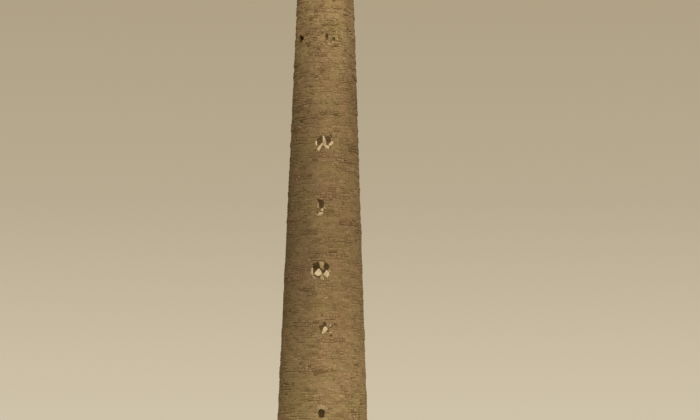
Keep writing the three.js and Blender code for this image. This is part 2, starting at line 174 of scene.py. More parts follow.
# Stones that have fallen out of the face and left a dark socket: azimuth, height and outline
SOCKETS = [
    (15.5, 23.79, [
        (-0.04, 0.05), (0, 0.095), (0.055, 0.1), (0.075, 0.05), (0.06, -0.055), (0.005, -0.1),
        (-0.055, -0.095), (-0.075, -0.04),
    ]),
    (*OPENINGS["second_light"][:2], [
        (0.175, -0.16), (0.24, -0.13), (0.275, -0.145), (0.255, -0.19), (0.19, -0.21),
    ]),
    (*OPENINGS["second_light"][:2], [
        (0.31, -0.38), (0.375, -0.34), (0.445, -0.35), (0.44, -0.4), (0.39, -0.435), (0.33, -0.445),
    ]),
]

# Pale stones bedded in the face beside an opening: how pale each is, and its outline off the opening's centre
PALE_STONES = {
    "second_light": [
        (0.78, [
            (0.275, -0.232), (0.345, -0.207), (0.465, -0.22), (0.45, -0.255), (0.365, -0.27), (0.29, -0.27),
        ]),
        (0.58, [(0.185, 0.18), (0.25, 0.185), (0.255, 0.115), (0.19, 0.1)]),
        (0.66, [(0.29, 0.105), (0.355, 0.19), (0.405, 0.175), (0.385, 0.105), (0.335, 0.05), (0.295, 0.03)]),
    ],
    "lower_rosette": [
        (0.6, [
            (-0.47, -0.24), (-0.405, -0.262), (-0.33, -0.315), (-0.25, -0.412), (-0.278, -0.455),
            (-0.375, -0.385), (-0.455, -0.31),
        ]),
        (0.55, [(-0.523, -0.03), (-0.493, -0.19), (-0.55, -0.17), (-0.572, -0.06)]),
        (0.62, [
            (0.358, 0.08), (0.392, 0.058), (0.465, -0.025), (0.455, -0.075), (0.398, -0.085), (0.343, -0.012),
        ]),
    ],
    "third_light": [
        (0.5, [
            (-0.21, 0.025), (-0.139, 0.015), (-0.125, -0.08), (-0.103, -0.192), (-0.21, -0.215),
            (-0.24, -0.095),
        ]),
        (0.52, [
            (0.13, -0.09), (0.175, -0.1), (0.19, -0.185), (0.275, -0.2), (0.27, -0.245), (0.122, -0.25),
            (0.092, -0.2),
        ]),
        (0.74, [
            (-0.125, -0.4), (0.01, -0.39), (0.11, -0.415), (0.1, -0.495), (-0.005, -0.575), (-0.225, -0.59),
            (-0.175, -0.495),
        ]),
        (0.5, [(-0.08, 0.262), (-0.055, 0.305), (0.085, 0.31), (0.095, 0.25)]),
    ],
    "top_slot": [
        (0.7, [(-0.035, 0.342), (0.07, 0.338), (0.075, 0.385), (-0.03, 0.388)]),
        (0.8, [(-0.15, -0.325), (-0.07, -0.33), (-0.062, -0.372), (-0.14, -0.38)]),
        (0.88, [(0.08, -0.32), (0.23, -0.325), (0.235, -0.37), (0.085, -0.368)]),
        (0.8, [(0.27, -0.235), (0.35, -0.24), (0.345, -0.32), (0.275, -0.315)]),
        (0.56, [(0.112, -0.02), (0.152, -0.015), (0.158, -0.16), (0.115, -0.165)]),
        (0.62, [(0.17, 0.17), (0.25, 0.165), (0.255, 0.125), (0.175, 0.122)]),
        (0.66, [(0.48, 0.34), (0.615, 0.335), (0.618, 0.292), (0.485, 0.295)]),
    ],
    "side_window": [
        (0.46, [(-0.375, 0.235), (-0.25, 0.225), (-0.245, -0.05), (-0.29, -0.075), (-0.36, 0.01)]),
    ],
}
BEDDED_PALE_STONES = [
    (*OPENINGS[opening][:2], shade, outline)
    for opening, stones in PALE_STONES.items()
    for shade, outline in stones
]

# Stretches of joint that the weather has washed out, each with a dark sliver at its back as painted shadow:
# azimuth, height, length and width
BED_GAPS = [
    (44.7, 25.11, 0.34, 0.05), (20, 25.38, 0.26, 0.04), (22.5, 25.21, 0.2, 0.035), (16, 24.86, 0.2, 0.035),
    (-10, 24.35, 0.34, 0.035), (6.5, 24.47, 0.62, 0.045), (50, 24.31, 0.46, 0.045),
    (-21.2, 24.32, 0.26, 0.05), (-41.5, 25.35, 0.24, 0.04), (-19.6, 25.23, 0.22, 0.035),
    (-12, 23.25, 0.14, 0.06), (-21.5, 23.33, 0.16, 0.04), (-31.6, 21.36, 0.52, 0.045),
    (29, 22.02, 0.2, 0.045), (3.4, 20.45, 0.16, 0.04), (23, 20.42, 0.22, 0.04), (-44, 19.62, 0.14, 0.07),
    (10.4, 18.83, 0.11, 0.07), (12.1, 18.75, 0.07, 0.1), (-1.7, 18.89, 0.045, 0.07),
    (10, 18.23, 0.07, 0.06), (-16, 18.09, 0.12, 0.06), (7.8, 9.16, 0.09, 0.055), (10.6, 9.21, 0.1, 0.06),
    (12.9, 9.3, 0.055, 0.1), (16.6, 9.37, 0.17, 0.075), (-5.4, 24.08, 0.045, 0.09),
    (2.6, 23.55, 0.06, 0.05), (0.3, 23.63, 0.05, 0.08), (13.6, 23.37, 0.1, 0.06),
    (27.8, 23.91, 0.05, 0.07), (11.8, 23.96, 0.06, 0.05), (-9.9, 14.92, 0.09, 0.05), (-5, 5.5, 0.05, 0.07),
    (-46, 23.93, 0.05, 0.24), (150, 7.9, 0.1, 0.05), (172, 12.4, 0.12, 0.04), (201, 15.2, 0.1, 0.05),
]

# The dark plate over the far side of the side window, painted shade where the sun would light the reveal, and
# how pale it is; and how pale what is left of a stone at the back of a socket is: dark brown, partly painted
# shade of the socket
SIDE_WINDOW_SHADOW_PLATE = [(-0.155, 0.285), (-0.115, 0.265), (-0.11, -0.23), (-0.145, -0.23)]
SIDE_WINDOW_SHADOW_TONE = 0.24
SOCKET_SHADE = 0.36

# How far the facing stones lap an opening's edge, and the joint round a pale stone
OPENING_LAP = 0.004
PALE_JOINT = 0.009

# A hewn stone is rounded off by a remesh of this size unless its piece asks for a finer or coarser one
VOXEL = 0.017

# How far a course strays from level, over a few metres and over one, and the height in which that fades out
# at the foot and under the eaves
BROAD_WANDER, CLOSE_WANDER, WANDER_FADE = 0.05, 0.07, 1.2

# The largest stone allowed, in usual lengths and heights
LONGEST, TALLEST = 2.3, 1.75

# A cell that crosses a hole's edge is looked at in a grid of this many points each way, and is broken down
# no further than this length and height
GRID = 6
SHORTEST, LOWEST = 0.045, 0.032

# How far stones are out of true in the face, and out of its plane, in radians, and how deep they are bedded
TILT, LEAN = 0.06, 0.03
BEDDED = (0.07, 0.1)

# Where the joints are raked out fully, the share of stones that are odd and pale, and of all odd ones, pale
# or dark
ODD_PALE, ODD = 0.006, 0.04

# A washed-out joint narrower than this gets no sliver of painted shadow
NARROWEST_GAP = 0.014

STONE_SHAPES = 14

# The doorway's dressed stones, the joint between them and how they are hewn
ARCH_STONES, JAMB_STONES, DRESSED_JOINT = 9, 5, 0.008
DRESSED = {"wear": 0.008, "voxel": 0.018}

# Height of the sloped underside of the eaves
EAVES_CHAMFER = 0.09

# The capstone's side, from its seat almost to its point: radius and height, on a stone of the height below
CAPSTONE_SIDE = [
    (0.15, 0), (0.185, 0.05), (0.19, 0.09), (0.178, 0.15), (0.15, 0.2), (0.09, 0.26), (0.035, 0.29),
]
CAPSTONE_HEIGHT = 0.3

# Dim lamps inside, that shine up at the heads of the openings, where the camera looks in: the height of each,
# and its power in room lights
ROOM_LAMPS = ((4.3, 2.6), (8.4, 6.5), (11.4, 2.9), (14.5, 5), (17.7, 7), (23.2, 7))

# The camera stands 100 m off at eye height. It is turned to the right, tilted up and rolled, in degrees. Its
# sensor and lens are in millimetres
CAMERA_PLACE = (0, -100, 1.6)
CAMERA_YAW, CAMERA_PITCH, CAMERA_ROLL = 0.7527, 7.805, 0.333
CAMERA_SENSOR, CAMERA_LENS = 36, 102.857


# Small helpers


def hex_colour(code):
    """An sRGB hex value as the linear colour that a socket takes."""
    channels = [int(code[i : i + 2], 16) / 255 for i in (0, 2, 4)]
    linear = [c / 12.92 if c <= 0.04045 else ((c + 0.055) / 1.055) ** 2.4 for c in channels]
    return (*linear, 1.0)


def add_node(tree, kind, inputs=(), stops=(), **settings):
    """Adds a node with its settings, the stops of its ramp and its inputs, given by name or in order.

    A kind without Node in its name is a shader node. An input is a value, a socket to link, or a node, whose
    first output is linked.
    """
    node = tree.nodes.new(kind if "Node" in kind else f"ShaderNode{kind}")
    for name, value in settings.items():
        setattr(node, name, value)
    if stops:
        elements = node.color_ramp.elements
        elements.remove(elements[1])
        elements[0].position = stops[0][0]
        for place, _ in stops[1:]:
            elements.new(place)
        for element, (_, colour) in zip(elements, stops):
            element.color = (*colour[:3], 1)
    for name, value in inputs.items() if isinstance(inputs, dict) else enumerate(inputs):
        if isinstance(value, bpy.types.Node):
            value = value.outputs[0]
        if isinstance(value, bpy.types.NodeSocket):
            tree.links.new(value, node.inputs[name])
        else:
            node.inputs[name].default_value = value
    return node


def new_material(name):
    """An empty node material, and its tree to fill."""
    material = bpy.data.materials.new(name)
    material.use_nodes = True
    tree = material.node_tree
    tree.nodes.clear()
    return material, tree


def new_piece(name, mesh):
    """A mesh as an object of the scene, at the origin."""
    piece = bpy.data.objects.new(name, mesh)
    bpy.context.scene.collection.objects.link(piece)
    return piece


def settle(piece, replaced=()):
    """The piece rides on the tower and stands for the CAD nodes that it replaces."""
    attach(piece, "root")
    if replaced:
        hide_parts(*replaced)


def on_wall(azimuth, height):
    """The place of an outline's plane: X along the face, Y up it and Z out of it, from the tower's axis."""
    turn = math.radians(azimuth)
    along = Vector((math.cos(turn), math.sin(turn), 0))
    out = Vector((math.sin(turn), -math.cos(turn), 0))
    seat = Matrix((along, Vector((0, 0, 1)), out)).transposed().to_4x4()
    return Matrix.Translation((0, 0, height)) @ seat


# Round faces that stones are laid on


class Face:
    """A round face that leans in as it rises. Places on it are an azimuth and a distance up the slope."""

    def __init__(self, foot_radius, foot_height, head_radius, head_height):
        rise = head_height - foot_height
        run = foot_radius - head_radius
        self.foot_radius = foot_radius
        self.foot_height = foot_height
        self.lean = math.atan2(run, rise)
        self.length = math.hypot(rise, run)
        self.reference = (foot_radius + head_radius) / 2

    def radius(self, up):
        return self.foot_radius - math.sin(self.lean) * up

    def height(self, up):
        return self.foot_height + math.cos(self.lean) * up


def shaft_face():
    foot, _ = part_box("base_wall_left")
    stage, stage_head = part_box("top_wall_left")
    batter = (stage.x - foot.x) / stage.z
    return Face(-foot.x, 0, -foot.x - batter * stage_head.z, stage_head.z)


def cap_faces():
    """The eaves' chamfer and upright face, and the cone of the cap up to its capstone."""
    low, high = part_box("eaves_course")
    wall = SHAFT.radius(SHAFT.length)
    chamfer_head = low.z + EAVES_CHAMFER
    chamfer = Face(wall + 0.02, low.z, high.x, chamfer_head)
    upright = Face(high.x, chamfer_head, high.x, high.z)
    _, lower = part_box("cap_lower")
    _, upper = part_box("cap_upper")
    slope = (lower.x - upper.x) / (lower.z - high.z)
    cone = Face(lower.x, high.z, upper.x - slope * (upper.z - lower.z), upper.z)
    return chamfer, upright, cone


SHAFT = shaft_face()


def round_noise(turn, reach, rise):
    """Smooth noise from -1 to 1 that closes round the tower. A larger reach or rise makes it vary faster."""
    return noise.noise(Vector((reach * math.sin(turn), reach * math.cos(turn), rise)))


def wander(turn, up):
    """How far a course strays up or down at a place, fading out at the foot and under the eaves."""
    fade = min(1, up / WANDER_FADE) * min(1, max(0, (SHAFT.length - up) / WANDER_FADE))
    broad = round_noise(turn, 1.3, 0.4 * up)
    close = round_noise(turn, 3.4, 1.3 * up)
    return fade * (BROAD_WANDER * broad + CLOSE_WANDER * close)


def raked(height):
    """How far the weather has raked the joints out at a height: most at the head, least half way up."""
    return float(np.interp(height, (0, 5, 9, 16, 20, 23), (0.8, 0.62, 0.47, 0.45, 0.54, 0.95)))


def coarseness(up):
    """How much larger than usual the stones are at a distance up the face. The footing has the largest."""
    return 1 + 0.6 * math.exp(-up / 0.8)


def inside(outline, across, rise):
    """Which of the points lie inside an outline."""
    found = np.zeros(np.shape(across), bool)
    for (x0, y0), (x1, y1) in zip(outline, outline[1:] + outline[:1]):
        if y0 != y1:
            crossing = x0 + (x1 - x0) * (rise - y0) / (y1 - y0)
            found ^= ((y0 <= rise) != (y1 <= rise)) & (across < crossing)
    return found


def broken_up(cell, sizes, scale, chance):
    """Breaks a cell, given as its left, right, foot and head, at random into stones of mixed sizes."""
    left, right, foot, head = cell
    length, height = (right - left) / scale, (head - foot) / scale
    wanted = sizes.stone_length * sizes.stone_height * math.exp(chance.gauss(0, 0.42))
    fits = length < LONGEST * sizes.stone_length and height < TALLEST * sizes.stone_height
    if fits and length * height < 1.4 * wanted:
        return [cell]
    share = chance.uniform(0.34, 0.66)
    if length / height > sizes.stone_length / sizes.stone_height * chance.uniform(0.75, 1.4):
        middle = left + share * (right - left)
        parts = (left, middle, foot, head), (middle, right, foot, head)
    else:
        middle = foot + share * (head - foot)
        parts = (left, right, foot, middle), (left, right, middle, head)
    return [stone for part in parts for stone in broken_up(part, sizes, scale, chance)]


def covered_grid(cell, face, radius, holes):
    """A grid of points over a cell, true where a hole covers it. Columns run left to right and rows up."""
    left, right, foot, head = cell
    shares = (np.arange(GRID) + 0.5) / GRID
    turns = (left + shares * (right - left)) / radius
    middle = (left + right) / 2 / radius
    ups = foot + shares * (head - foot)
    heights = np.array([face.height(up + wander(middle, up)) for up in ups])
    grid = np.zeros((GRID, GRID), bool)
    for azimuth, height, outline in holes:
        across = radius * np.sin(turns - math.radians(azimuth))
        grid |= inside(outline, *np.meshgrid(across, heights - height))
    return grid


def cut_round(cell, face, radius, holes):
    """Breaks a cell up further where it crosses the edge of a hole, and leaves out what a hole covers."""
    grid = covered_grid(cell, face, radius, holes)
    covered = grid.mean()
    if covered < 0.03:
        return [cell]
    if covered > 0.97:
        return []
    left, right, foot, head = cell
    best = None
    for step in range(1, GRID):
        weight = math.sqrt(step * (GRID - step))
        if min(step, GRID - step) / GRID * (right - left) > SHORTEST:
            contrast = weight * abs(grid[:, :step].mean() - grid[:, step:].mean())
            best = max(best or (0,), (contrast, "upright", step))
        if min(step, GRID - step) / GRID * (head - foot) > LOWEST:
            contrast = weight * abs(grid[:step].mean() - grid[step:].mean())
            best = max(best or (0,), (contrast, "level", step))
    if best is None or best[0] == 0:
        return [cell] if covered < 0.55 else []
    _, way, step = best
    if way == "upright":
        middle = left + step / GRID * (right - left)
        parts = (left, middle, foot, head), (middle, right, foot, head)
    else:
        middle = foot + step / GRID * (head - foot)
        parts = (left, right, foot, middle), (left, right, middle, head)
    return [stone for part in parts for stone in cut_round(part, face, radius, holes)]


def holes_near(cell, face, radius, holes):
    """The holes whose surroundings reach into a cell."""
    left, right, foot, head = cell
    near = []
    for hole in holes:
        azimuth, height, outline = hole
        reach = 0.04 + max(abs(corner[0]) for corner in outline)
        top = 0.04 + max(corner[1] for corner in outline)
        bottom = min(corner[1] for corner in outline) - 0.04
        away = math.remainder((left + right) / 2 / radius - math.radians(azimuth), 2 * math.pi) * radius
        beside = abs(away) - (right - left) / 2 > reach
        if not beside and face.height(head) - height > bottom and face.height(foot) - height < top:
            near.append(hole)
    return near


def stone_at(cell, radius, sizes, chance, tint, washed_out=0, straying=True, rake=1.0, set_out=0.0):
    """A stone that fills a cell, less its joints, as a dict of its place, size, turn and tint."""
    left, right, foot, head = cell
    middle = (left + right) / 2 / radius
    up = (foot + head + washed_out) / 2
    slope = 0
    if straying:
        slope = (wander(middle + 0.02, up) - wander(middle - 0.02, up)) / (0.04 * radius)
        up += wander(middle, up)
    # A short stone is less out of true, and the wall's bulges carry its stones out and in
    size = min(1.0, (right - left) / 0.16)
    bulge = 0.024 * round_noise(middle, 1.3 * radius, 1.9 * up)
    return {
        "turn": middle,
        "up": up,
        "length": max(0.03, right - left - sizes.joint * chance.uniform(0.6, 1.6)),
        "height": max(0.02, head - foot - washed_out - sizes.joint * chance.uniform(0.6, 1.5)),
        "depth": chance.uniform(*BEDDED),
        "proud": min(0.04, max(0.001, chance.gauss(sizes.proud, sizes.relief) * rake + bulge + set_out)),
        "tilt": math.atan(slope) + chance.gauss(0, TILT) * size,
        "lean": chance.gauss(0, LEAN) * rake,
        "yaw": chance.gauss(0, LEAN) * rake,
        "tint": min(1, max(0, tint)),
        "shape": chance.randrange(STONE_SHAPES),
        "flip": chance.random() < 0.5,
    }


def painted_shadow_sliver(cell, radius, sizes, chance, straying=True, tint=0):
    """A dark sliver at the back of a washed-out joint: painted shadow."""
    left, right, foot, head = cell
    sliver = stone_at(cell, radius, sizes, chance, tint, straying=straying)
    return {**sliver, "height": head - foot, "length": right - left, "proud": 0.0015, "lean": 0, "yaw": 0}


def open_gaps(face, sizes, chance):
    """The long stretches of washed-out joint, as holes to lay rubble round, and the slivers of painted shadow
    seen in them.
    """
    holes, slivers = [], []
    for azimuth, height, length, tall in BED_GAPS:
        up = (height - face.foot_height) / math.cos(face.lean)
        radius = face.radius(up)
        middle = math.radians(azimuth) * radius
        cell = (middle - length / 2, middle + length / 2, up - tall / 2, up + tall / 2)
        slivers.append(painted_shadow_sliver(cell, radius, sizes, chance, straying=False))
        left, right = -length / 2, length / 2
        outline = [(left, -tall / 2), (right, -0.4 * tall), (right, 0.5 * tall), (left, 0.4 * tall)]
        holes.append((azimuth, height, outline))
    return holes, slivers


def bed_lines(face, sizes, chance):
    """The level beds that the rubble is brought up to, from the foot of a face to its head."""
    beds = [0]
    while beds[-1] < face.length:
        uneven = min(1.4, max(0.65, chance.gauss(1, 0.2)))
        beds.append(beds[-1] + coarseness(beds[-1]) * sizes.bed_height * uneven)
    fit = face.length / beds[-1]
    return [bed * fit for bed in beds]


def block_edges(around, length, chance):
    """The upright lines that divide a bed into blocks, a few lengths apart."""
    edges = [0]
    while edges[-1] < around:
        edges.append(edges[-1] + length * chance.uniform(1.5, 4.5))
    start = chance.uniform(0, around)
    return [start + edge * around / edges[-1] for edge in edges]


def bedded_stone(cell, bed, radius, sizes, chance, rake, block_tint, set_out):
    """A stone of a bed, with a dark sliver of painted shadow under it where the weather has washed out its
    bed joint.
    """
    left, right, foot, head = cell
    laid = []
    washed_out = 0
    if foot == bed:
        washed = round_noise((left + right) / 2 / radius, 1.6 * radius, 9.3 * bed)
        washed_out = min(max(0, washed - 0.48 + 0.3 * rake) * 0.15, 0.3 * (head - foot))
    if washed_out > NARROWEST_GAP:
        strip = (left, right, foot, foot + washed_out)
        laid.append(painted_shadow_sliver(strip, radius, sizes, chance, tint=chance.uniform(0.008, 0.03)))
    tint = max(0.04, chance.gauss(0.5, 0.06 + 0.07 * rake) + block_tint)
    odd = chance.random()
    if odd < ODD_PALE * rake:
        tint = chance.uniform(0.8, 0.92)
    elif odd < ODD * rake:
        tint = chance.uniform(0.03, 0.12)
    laid.append(stone_at(cell, radius, sizes, chance, tint, washed_out, rake=rake, set_out=set_out))
    return laid


def lay_rubble(face, sizes, seed, holes):
    """Fills a face with rubble of mixed sizes, brought to a level bed every few courses, round its holes."""
    chance = random.Random(seed)
    gaps, stones = open_gaps(face, sizes, chance)
    holes = holes + gaps
    beds = bed_lines(face, sizes, chance)
    for foot, head in zip(beds, beds[1:]):
        scale = coarseness(foot)
        radius = face.radius((foot + head) / 2)
        rake = raked(face.height(foot))
        edges = block_edges(2 * math.pi * radius, scale * sizes.bed_height, chance)
        for left, right in zip(edges, edges[1:]):
            block = (left, right, foot, head)
            near = holes_near(block, face, radius, holes)
            # A block's stones share a tone, and stand out or back together
            block_tint = chance.gauss(0, 0.05)
            set_out = 0.045 * round_noise((left + right) / 2 / radius, radius, 7.7 * foot)
            for cell in broken_up(block, sizes, scale, chance):
                for part in cut_round(cell, face, radius, near) if near else [cell]:
                    stones += bedded_stone(part, foot, radius, sizes, chance, rake, block_tint, set_out)
    return stones


def lay_rings(face, sizes, seed, rings=None):
    """Lays a face in plain rings of stones of one height, each ring breaking the joints of the last."""
    chance = random.Random(seed)
    count = rings or max(1, round(face.length / sizes.stone_height))
    stones = []
    for ring in range(count):
        foot, head = face.length * ring / count, face.length * (ring + 1) / count
        radius = face.radius((foot + head) / 2)
        number = max(5, round(2 * math.pi * radius / sizes.stone_length))
        start = chance.uniform(0, 1)
        joints = [start + index + chance.uniform(-0.22, 0.22) for index in range(number)]
        edges = [joint * 2 * math.pi * radius / number for joint in joints]
        edges.append(edges[0] + 2 * math.pi * radius)
        for left, right in zip(edges, edges[1:]):
            tint = chance.gauss(0.5, 0.15)
            stones.append(stone_at((left, right, foot, head), radius, sizes, chance, tint, straying=False))
    return stones


# Stone shapes and the tree that lays them


def stone_shape(name, seed):
    """A split stone of unit size, face outwards at Z 0 and tail at Z -1, with eight uneven corners."""
    chance = random.Random(seed)
    tops = [0.5 - chance.uniform(0, 0.07) for _ in range(4)]
    ends = [0.5 - chance.uniform(0, 0.05) for _ in range(4)]
    outline = [
        (-ends[0], -tops[0] + 0.15), (-0.4 - chance.uniform(-0.05, 0.05), -tops[0]),
        (0.4 + chance.uniform(-0.05, 0.05), -tops[1]), (ends[1], -tops[1] + 0.14),
        (ends[2], tops[2] - 0.14), (0.4 + chance.uniform(-0.06, 0.05), tops[2]),
        (-0.4 - chance.uniform(-0.06, 0.05), tops[3]), (-ends[3], tops[3] - 0.15),
    ]
    count = len(outline)
    points = []
    for wide, tall, depth, spread in ((1, 1, -1, 0), (1, 1, -0.2, 0.05), (0.94, 0.9, 0, 0.07)):
        points += [(wide * x, tall * y, depth + chance.uniform(-spread, spread)) for x, y in outline]
    face = points[2 * count :]
    left, right = 3 * count, 3 * count + 1
    points.append((-0.2, chance.uniform(-0.15, 0.15), chance.uniform(0.0, 0.14)))
    points.append((0.22, chance.uniform(-0.15, 0.15), chance.uniform(0.0, 0.14)))

    faces = [tuple(reversed(range(count)))]
    for low in (0, count):
        high = low + count
        for index in range(count):
            after = (index + 1) % count
            faces.append((low + index, low + after, high + after, high + index))
    # The face is domed: each of its edges runs in to the left or the right centre point, whichever is its own
    centres = [left if here[0] + after[0] < 0 else right for here, after in zip(face, face[1:] + face[:1])]
    start = 2 * count
    faces += [(start + index, start + (index + 1) % count, centre) for index, centre in enumerate(centres)]
    for index, centre in enumerate(centres):
        if centre != centres[index - 1]:
            faces.append((start + index, centre, centres[index - 1]))

    mesh = bpy.data.meshes.new(name)
    mesh.from_pydata(points, [], faces)
    # How open each ring of corners is to the light, from 0 at the tail to 1 at the face: the facing paints
    # shade on the sides that sink into the joints
    open_to_light = mesh.attributes.new("open_to_light", "FLOAT", "POINT")
    open_to_light.data.foreach_set("value", [0.0] * count + [0.35] * count + [1.0] * (count + 2))
    mesh.update()
    return bpy.data.objects.new(name, mesh)


def stone_laying_tree():
    """Geometry nodes that set stones out on a flat plan, roughen them and wrap the plan round a cone."""
    tree = bpy.data.node_groups.new("Lay stones on a round face", "GeometryNodeTree")
    for name, kind, value in (
        ("Plan", "Geometry", None),
        ("Stone Shapes", "Collection", None),
        ("Material", "Material", None),
        ("Reference Radius", "Float", 2.0),
        ("Foot Radius", "Float", 2.4),
        ("Foot Height", "Float", 0.0),
        ("Lean", "Float", 0.04),
        ("Roughness", "Float", 0.01),
        ("Roughness Scale", "Float", 9.0),
        ("Seed", "Int", 1),
    ):
        socket = tree.interface.new_socket(name, in_out="INPUT", socket_type=f"NodeSocket{kind}")
        if value is not None:
            socket.default_value = value
    tree.interface.new_socket("Stones", in_out="OUTPUT", socket_type="NodeSocketGeometry")

    # Each point of the plan gets one of the stone shapes, at its own size and turn
    given = add_node(tree, "NodeGroupInput").outputs
    shapes = add_node(tree, "GeometryNodeCollectionInfo", {
        "Collection": given["Stone Shapes"],
        "Separate Children": True,
        "Reset Children": True,
    }, transform_space="ORIGINAL")
    pick = add_node(tree, "GeometryNodeInputNamedAttribute", {"Name": "shape"}, data_type="INT")
    turn = add_node(tree, "GeometryNodeInputNamedAttribute", {"Name": "turn"}, data_type="FLOAT_VECTOR")
    size = add_node(tree, "GeometryNodeInputNamedAttribute", {"Name": "size"}, data_type="FLOAT_VECTOR")
    placed = add_node(tree, "GeometryNodeInstanceOnPoints", {
        "Points": given["Plan"],
        "Instance": shapes,
        "Pick Instance": True,
        "Instance Index": pick,
        "Rotation": add_node(tree, "FunctionNodeEulerToRotation", {"Euler": turn}),
        "Scale": size,
    })
    stones = add_node(tree, "GeometryNodeRealizeInstances", {"Geometry": placed})

    # The corners wander by noise, half as much outwards as along the face
    grain = add_node(tree, "TexNoise", {
        "Vector": add_node(tree, "GeometryNodeInputPosition"),
        "W": given["Seed"],
        "Scale": given["Roughness Scale"],
        "Detail": 2.0,
    }, noise_dimensions="4D")
    centred = add_node(tree, "VectorMath", [grain.outputs["Color"], (0.5, 0.5, 0.5)], operation="SUBTRACT")
    shifted = add_node(tree, "VectorMath", {0: centred, "Scale": given["Roughness"]}, operation="SCALE")
    mostly_level = add_node(tree, "VectorMath", [shifted, (1.0, 1.0, 0.5)], operation="MULTIPLY")
    roughened = add_node(tree, "GeometryNodeSetPosition", {"Geometry": stones, "Offset": mostly_level})

    # X on the plan becomes an azimuth, Y a distance up the slope and Z a distance out from it
    there = add_node(tree, "GeometryNodeInputPosition")
    flat = add_node(tree, "SeparateXYZ", [there]).outputs
    azimuth = add_node(tree, "Math", [flat["X"], given["Reference Radius"]], operation="DIVIDE")
    lean_in = add_node(tree, "Math", [given["Lean"]], operation="SINE")
    upright = add_node(tree, "Math", [given["Lean"]], operation="COSINE")
    drawn_in = add_node(tree, "Math", [flat["Y"], lean_in], operation="MULTIPLY")
    bare = add_node(tree, "Math", [given["Foot Radius"], drawn_in], operation="SUBTRACT")
    radius = add_node(tree, "Math", [flat["Z"], upright, bare], operation="MULTIPLY_ADD")
    risen = add_node(tree, "Math", [flat["Y"], upright, given["Foot Height"]], operation="MULTIPLY_ADD")
    height = add_node(tree, "Math", [flat["Z"], lean_in, risen], operation="MULTIPLY_ADD")
    sine = add_node(tree, "Math", [azimuth], operation="SINE")
    cosine = add_node(tree, "Math", [azimuth], operation="COSINE")
    x = add_node(tree, "Math", [radius, sine], operation="MULTIPLY")
    inward = add_node(tree, "Math", [radius, cosine], operation="MULTIPLY")
    y = add_node(tree, "Math", [inward, -1.0], operation="MULTIPLY")
    round_place = add_node(tree, "CombineXYZ", [x, y, height])
    wrapped = add_node(tree, "GeometryNodeSetPosition", {"Geometry": roughened, "Position": round_place})
    finished = add_node(tree, "GeometryNodeSetMaterial", {"Geometry": wrapped, "Material": given["Material"]})
    add_node(tree, "NodeGroupOutput", {"Stones": finished})
    return tree


def lay_stones(name, face, stones, material, roughness, seed):
    """Runs the laying tree on a plan of stones and returns the finished stones as a plain mesh object."""
    places, sizes, turns = [], [], []
    for stone in stones:
        places.append((stone["turn"] * face.reference, stone["up"], stone["proud"]))
        stretch = face.reference / face.radius(stone["up"])
        sizes += [stone["length"] * stretch, stone["height"], stone["depth"]]
        turns += [stone["lean"], stone["yaw"], stone["tilt"] + (math.pi if stone["flip"] else 0)]
    plan = bpy.data.meshes.new(name + "_plan")
    plan.from_pydata(places, [], [])
    plan.attributes.new("size", "FLOAT_VECTOR", "POINT").data.foreach_set("vector", sizes)
    plan.attributes.new("turn", "FLOAT_VECTOR", "POINT").data.foreach_set("vector", turns)
    plan.attributes.new("shape", "INT", "POINT").data.foreach_set("value", [s["shape"] for s in stones])
    plan.attributes.new("tint", "FLOAT", "POINT").data.foreach_set("value", [s["tint"] for s in stones])

    piece = new_piece(name, plan)
    shapes = bpy.data.collections.new("Stone shapes")
    for index in range(STONE_SHAPES):
        shapes.objects.link(stone_shape(f"stone_shape_{index}", 40 + index))
    tree = stone_laying_tree()
    modifier = piece.modifiers.new("Lay stones", "NODES")
    modifier.node_group = tree
    wanted = {
        "Stone Shapes": shapes,
        "Material": material,
        "Reference Radius": face.reference,
        "Foot Radius": face.foot_radius,
        "Foot Height": face.foot_height,
        "Lean": face.lean,
        "Roughness": roughness,
        "Seed": seed,
    }
    for item in tree.interface.items_tree:
        if item.in_out == "INPUT" and item.name in wanted:
            modifier[item.identifier] = wanted[item.name]

    graph = bpy.context.evaluated_depsgraph_get()
    laid = piece.evaluated_get(graph)
    mesh = bpy.data.meshes.new_from_object(laid, preserve_all_data_layers=True, depsgraph=graph)
    piece.modifiers.clear()
    piece.data = mesh
    mesh.name = name
    for spare in ("size", "turn", "shape"):
        if spare in mesh.attributes:
            mesh.attributes.remove(mesh.attributes[spare])
    for shape in list(shapes.objects):
        bpy.data.objects.remove(shape)
    bpy.data.collections.remove(shapes)
    bpy.data.node_groups.remove(tree)
    bpy.data.meshes.remove(plan)
    return piece


def turning(outline):
    """Twice the area of an outline: positive where its corners run anticlockwise."""
    return sum(x0 * y1 - x1 * y0 for (x0, y0), (x1, y1) in zip(outline, outline[1:] + outline[:1]))


def grown(outline, margin):
    """An outline with every edge moved out by a margin."""
    side = math.copysign(1, turning(outline))
    result = []
    for before, here, after in zip(outline[-1:] + outline[:-1], outline, outline[1:] + outline[:1]):
        first = Vector((here[1] - before[1], before[0] - here[0])).normalized() * side
        second = Vector((after[1] - here[1], here[0] - after[0])).normalized() * side
        middle = (first + second).normalized()
        reach = margin / max(0.4, middle.dot(first))
        result.append((here[0] + middle.x * reach, here[1] + middle.y * reach))
    return result


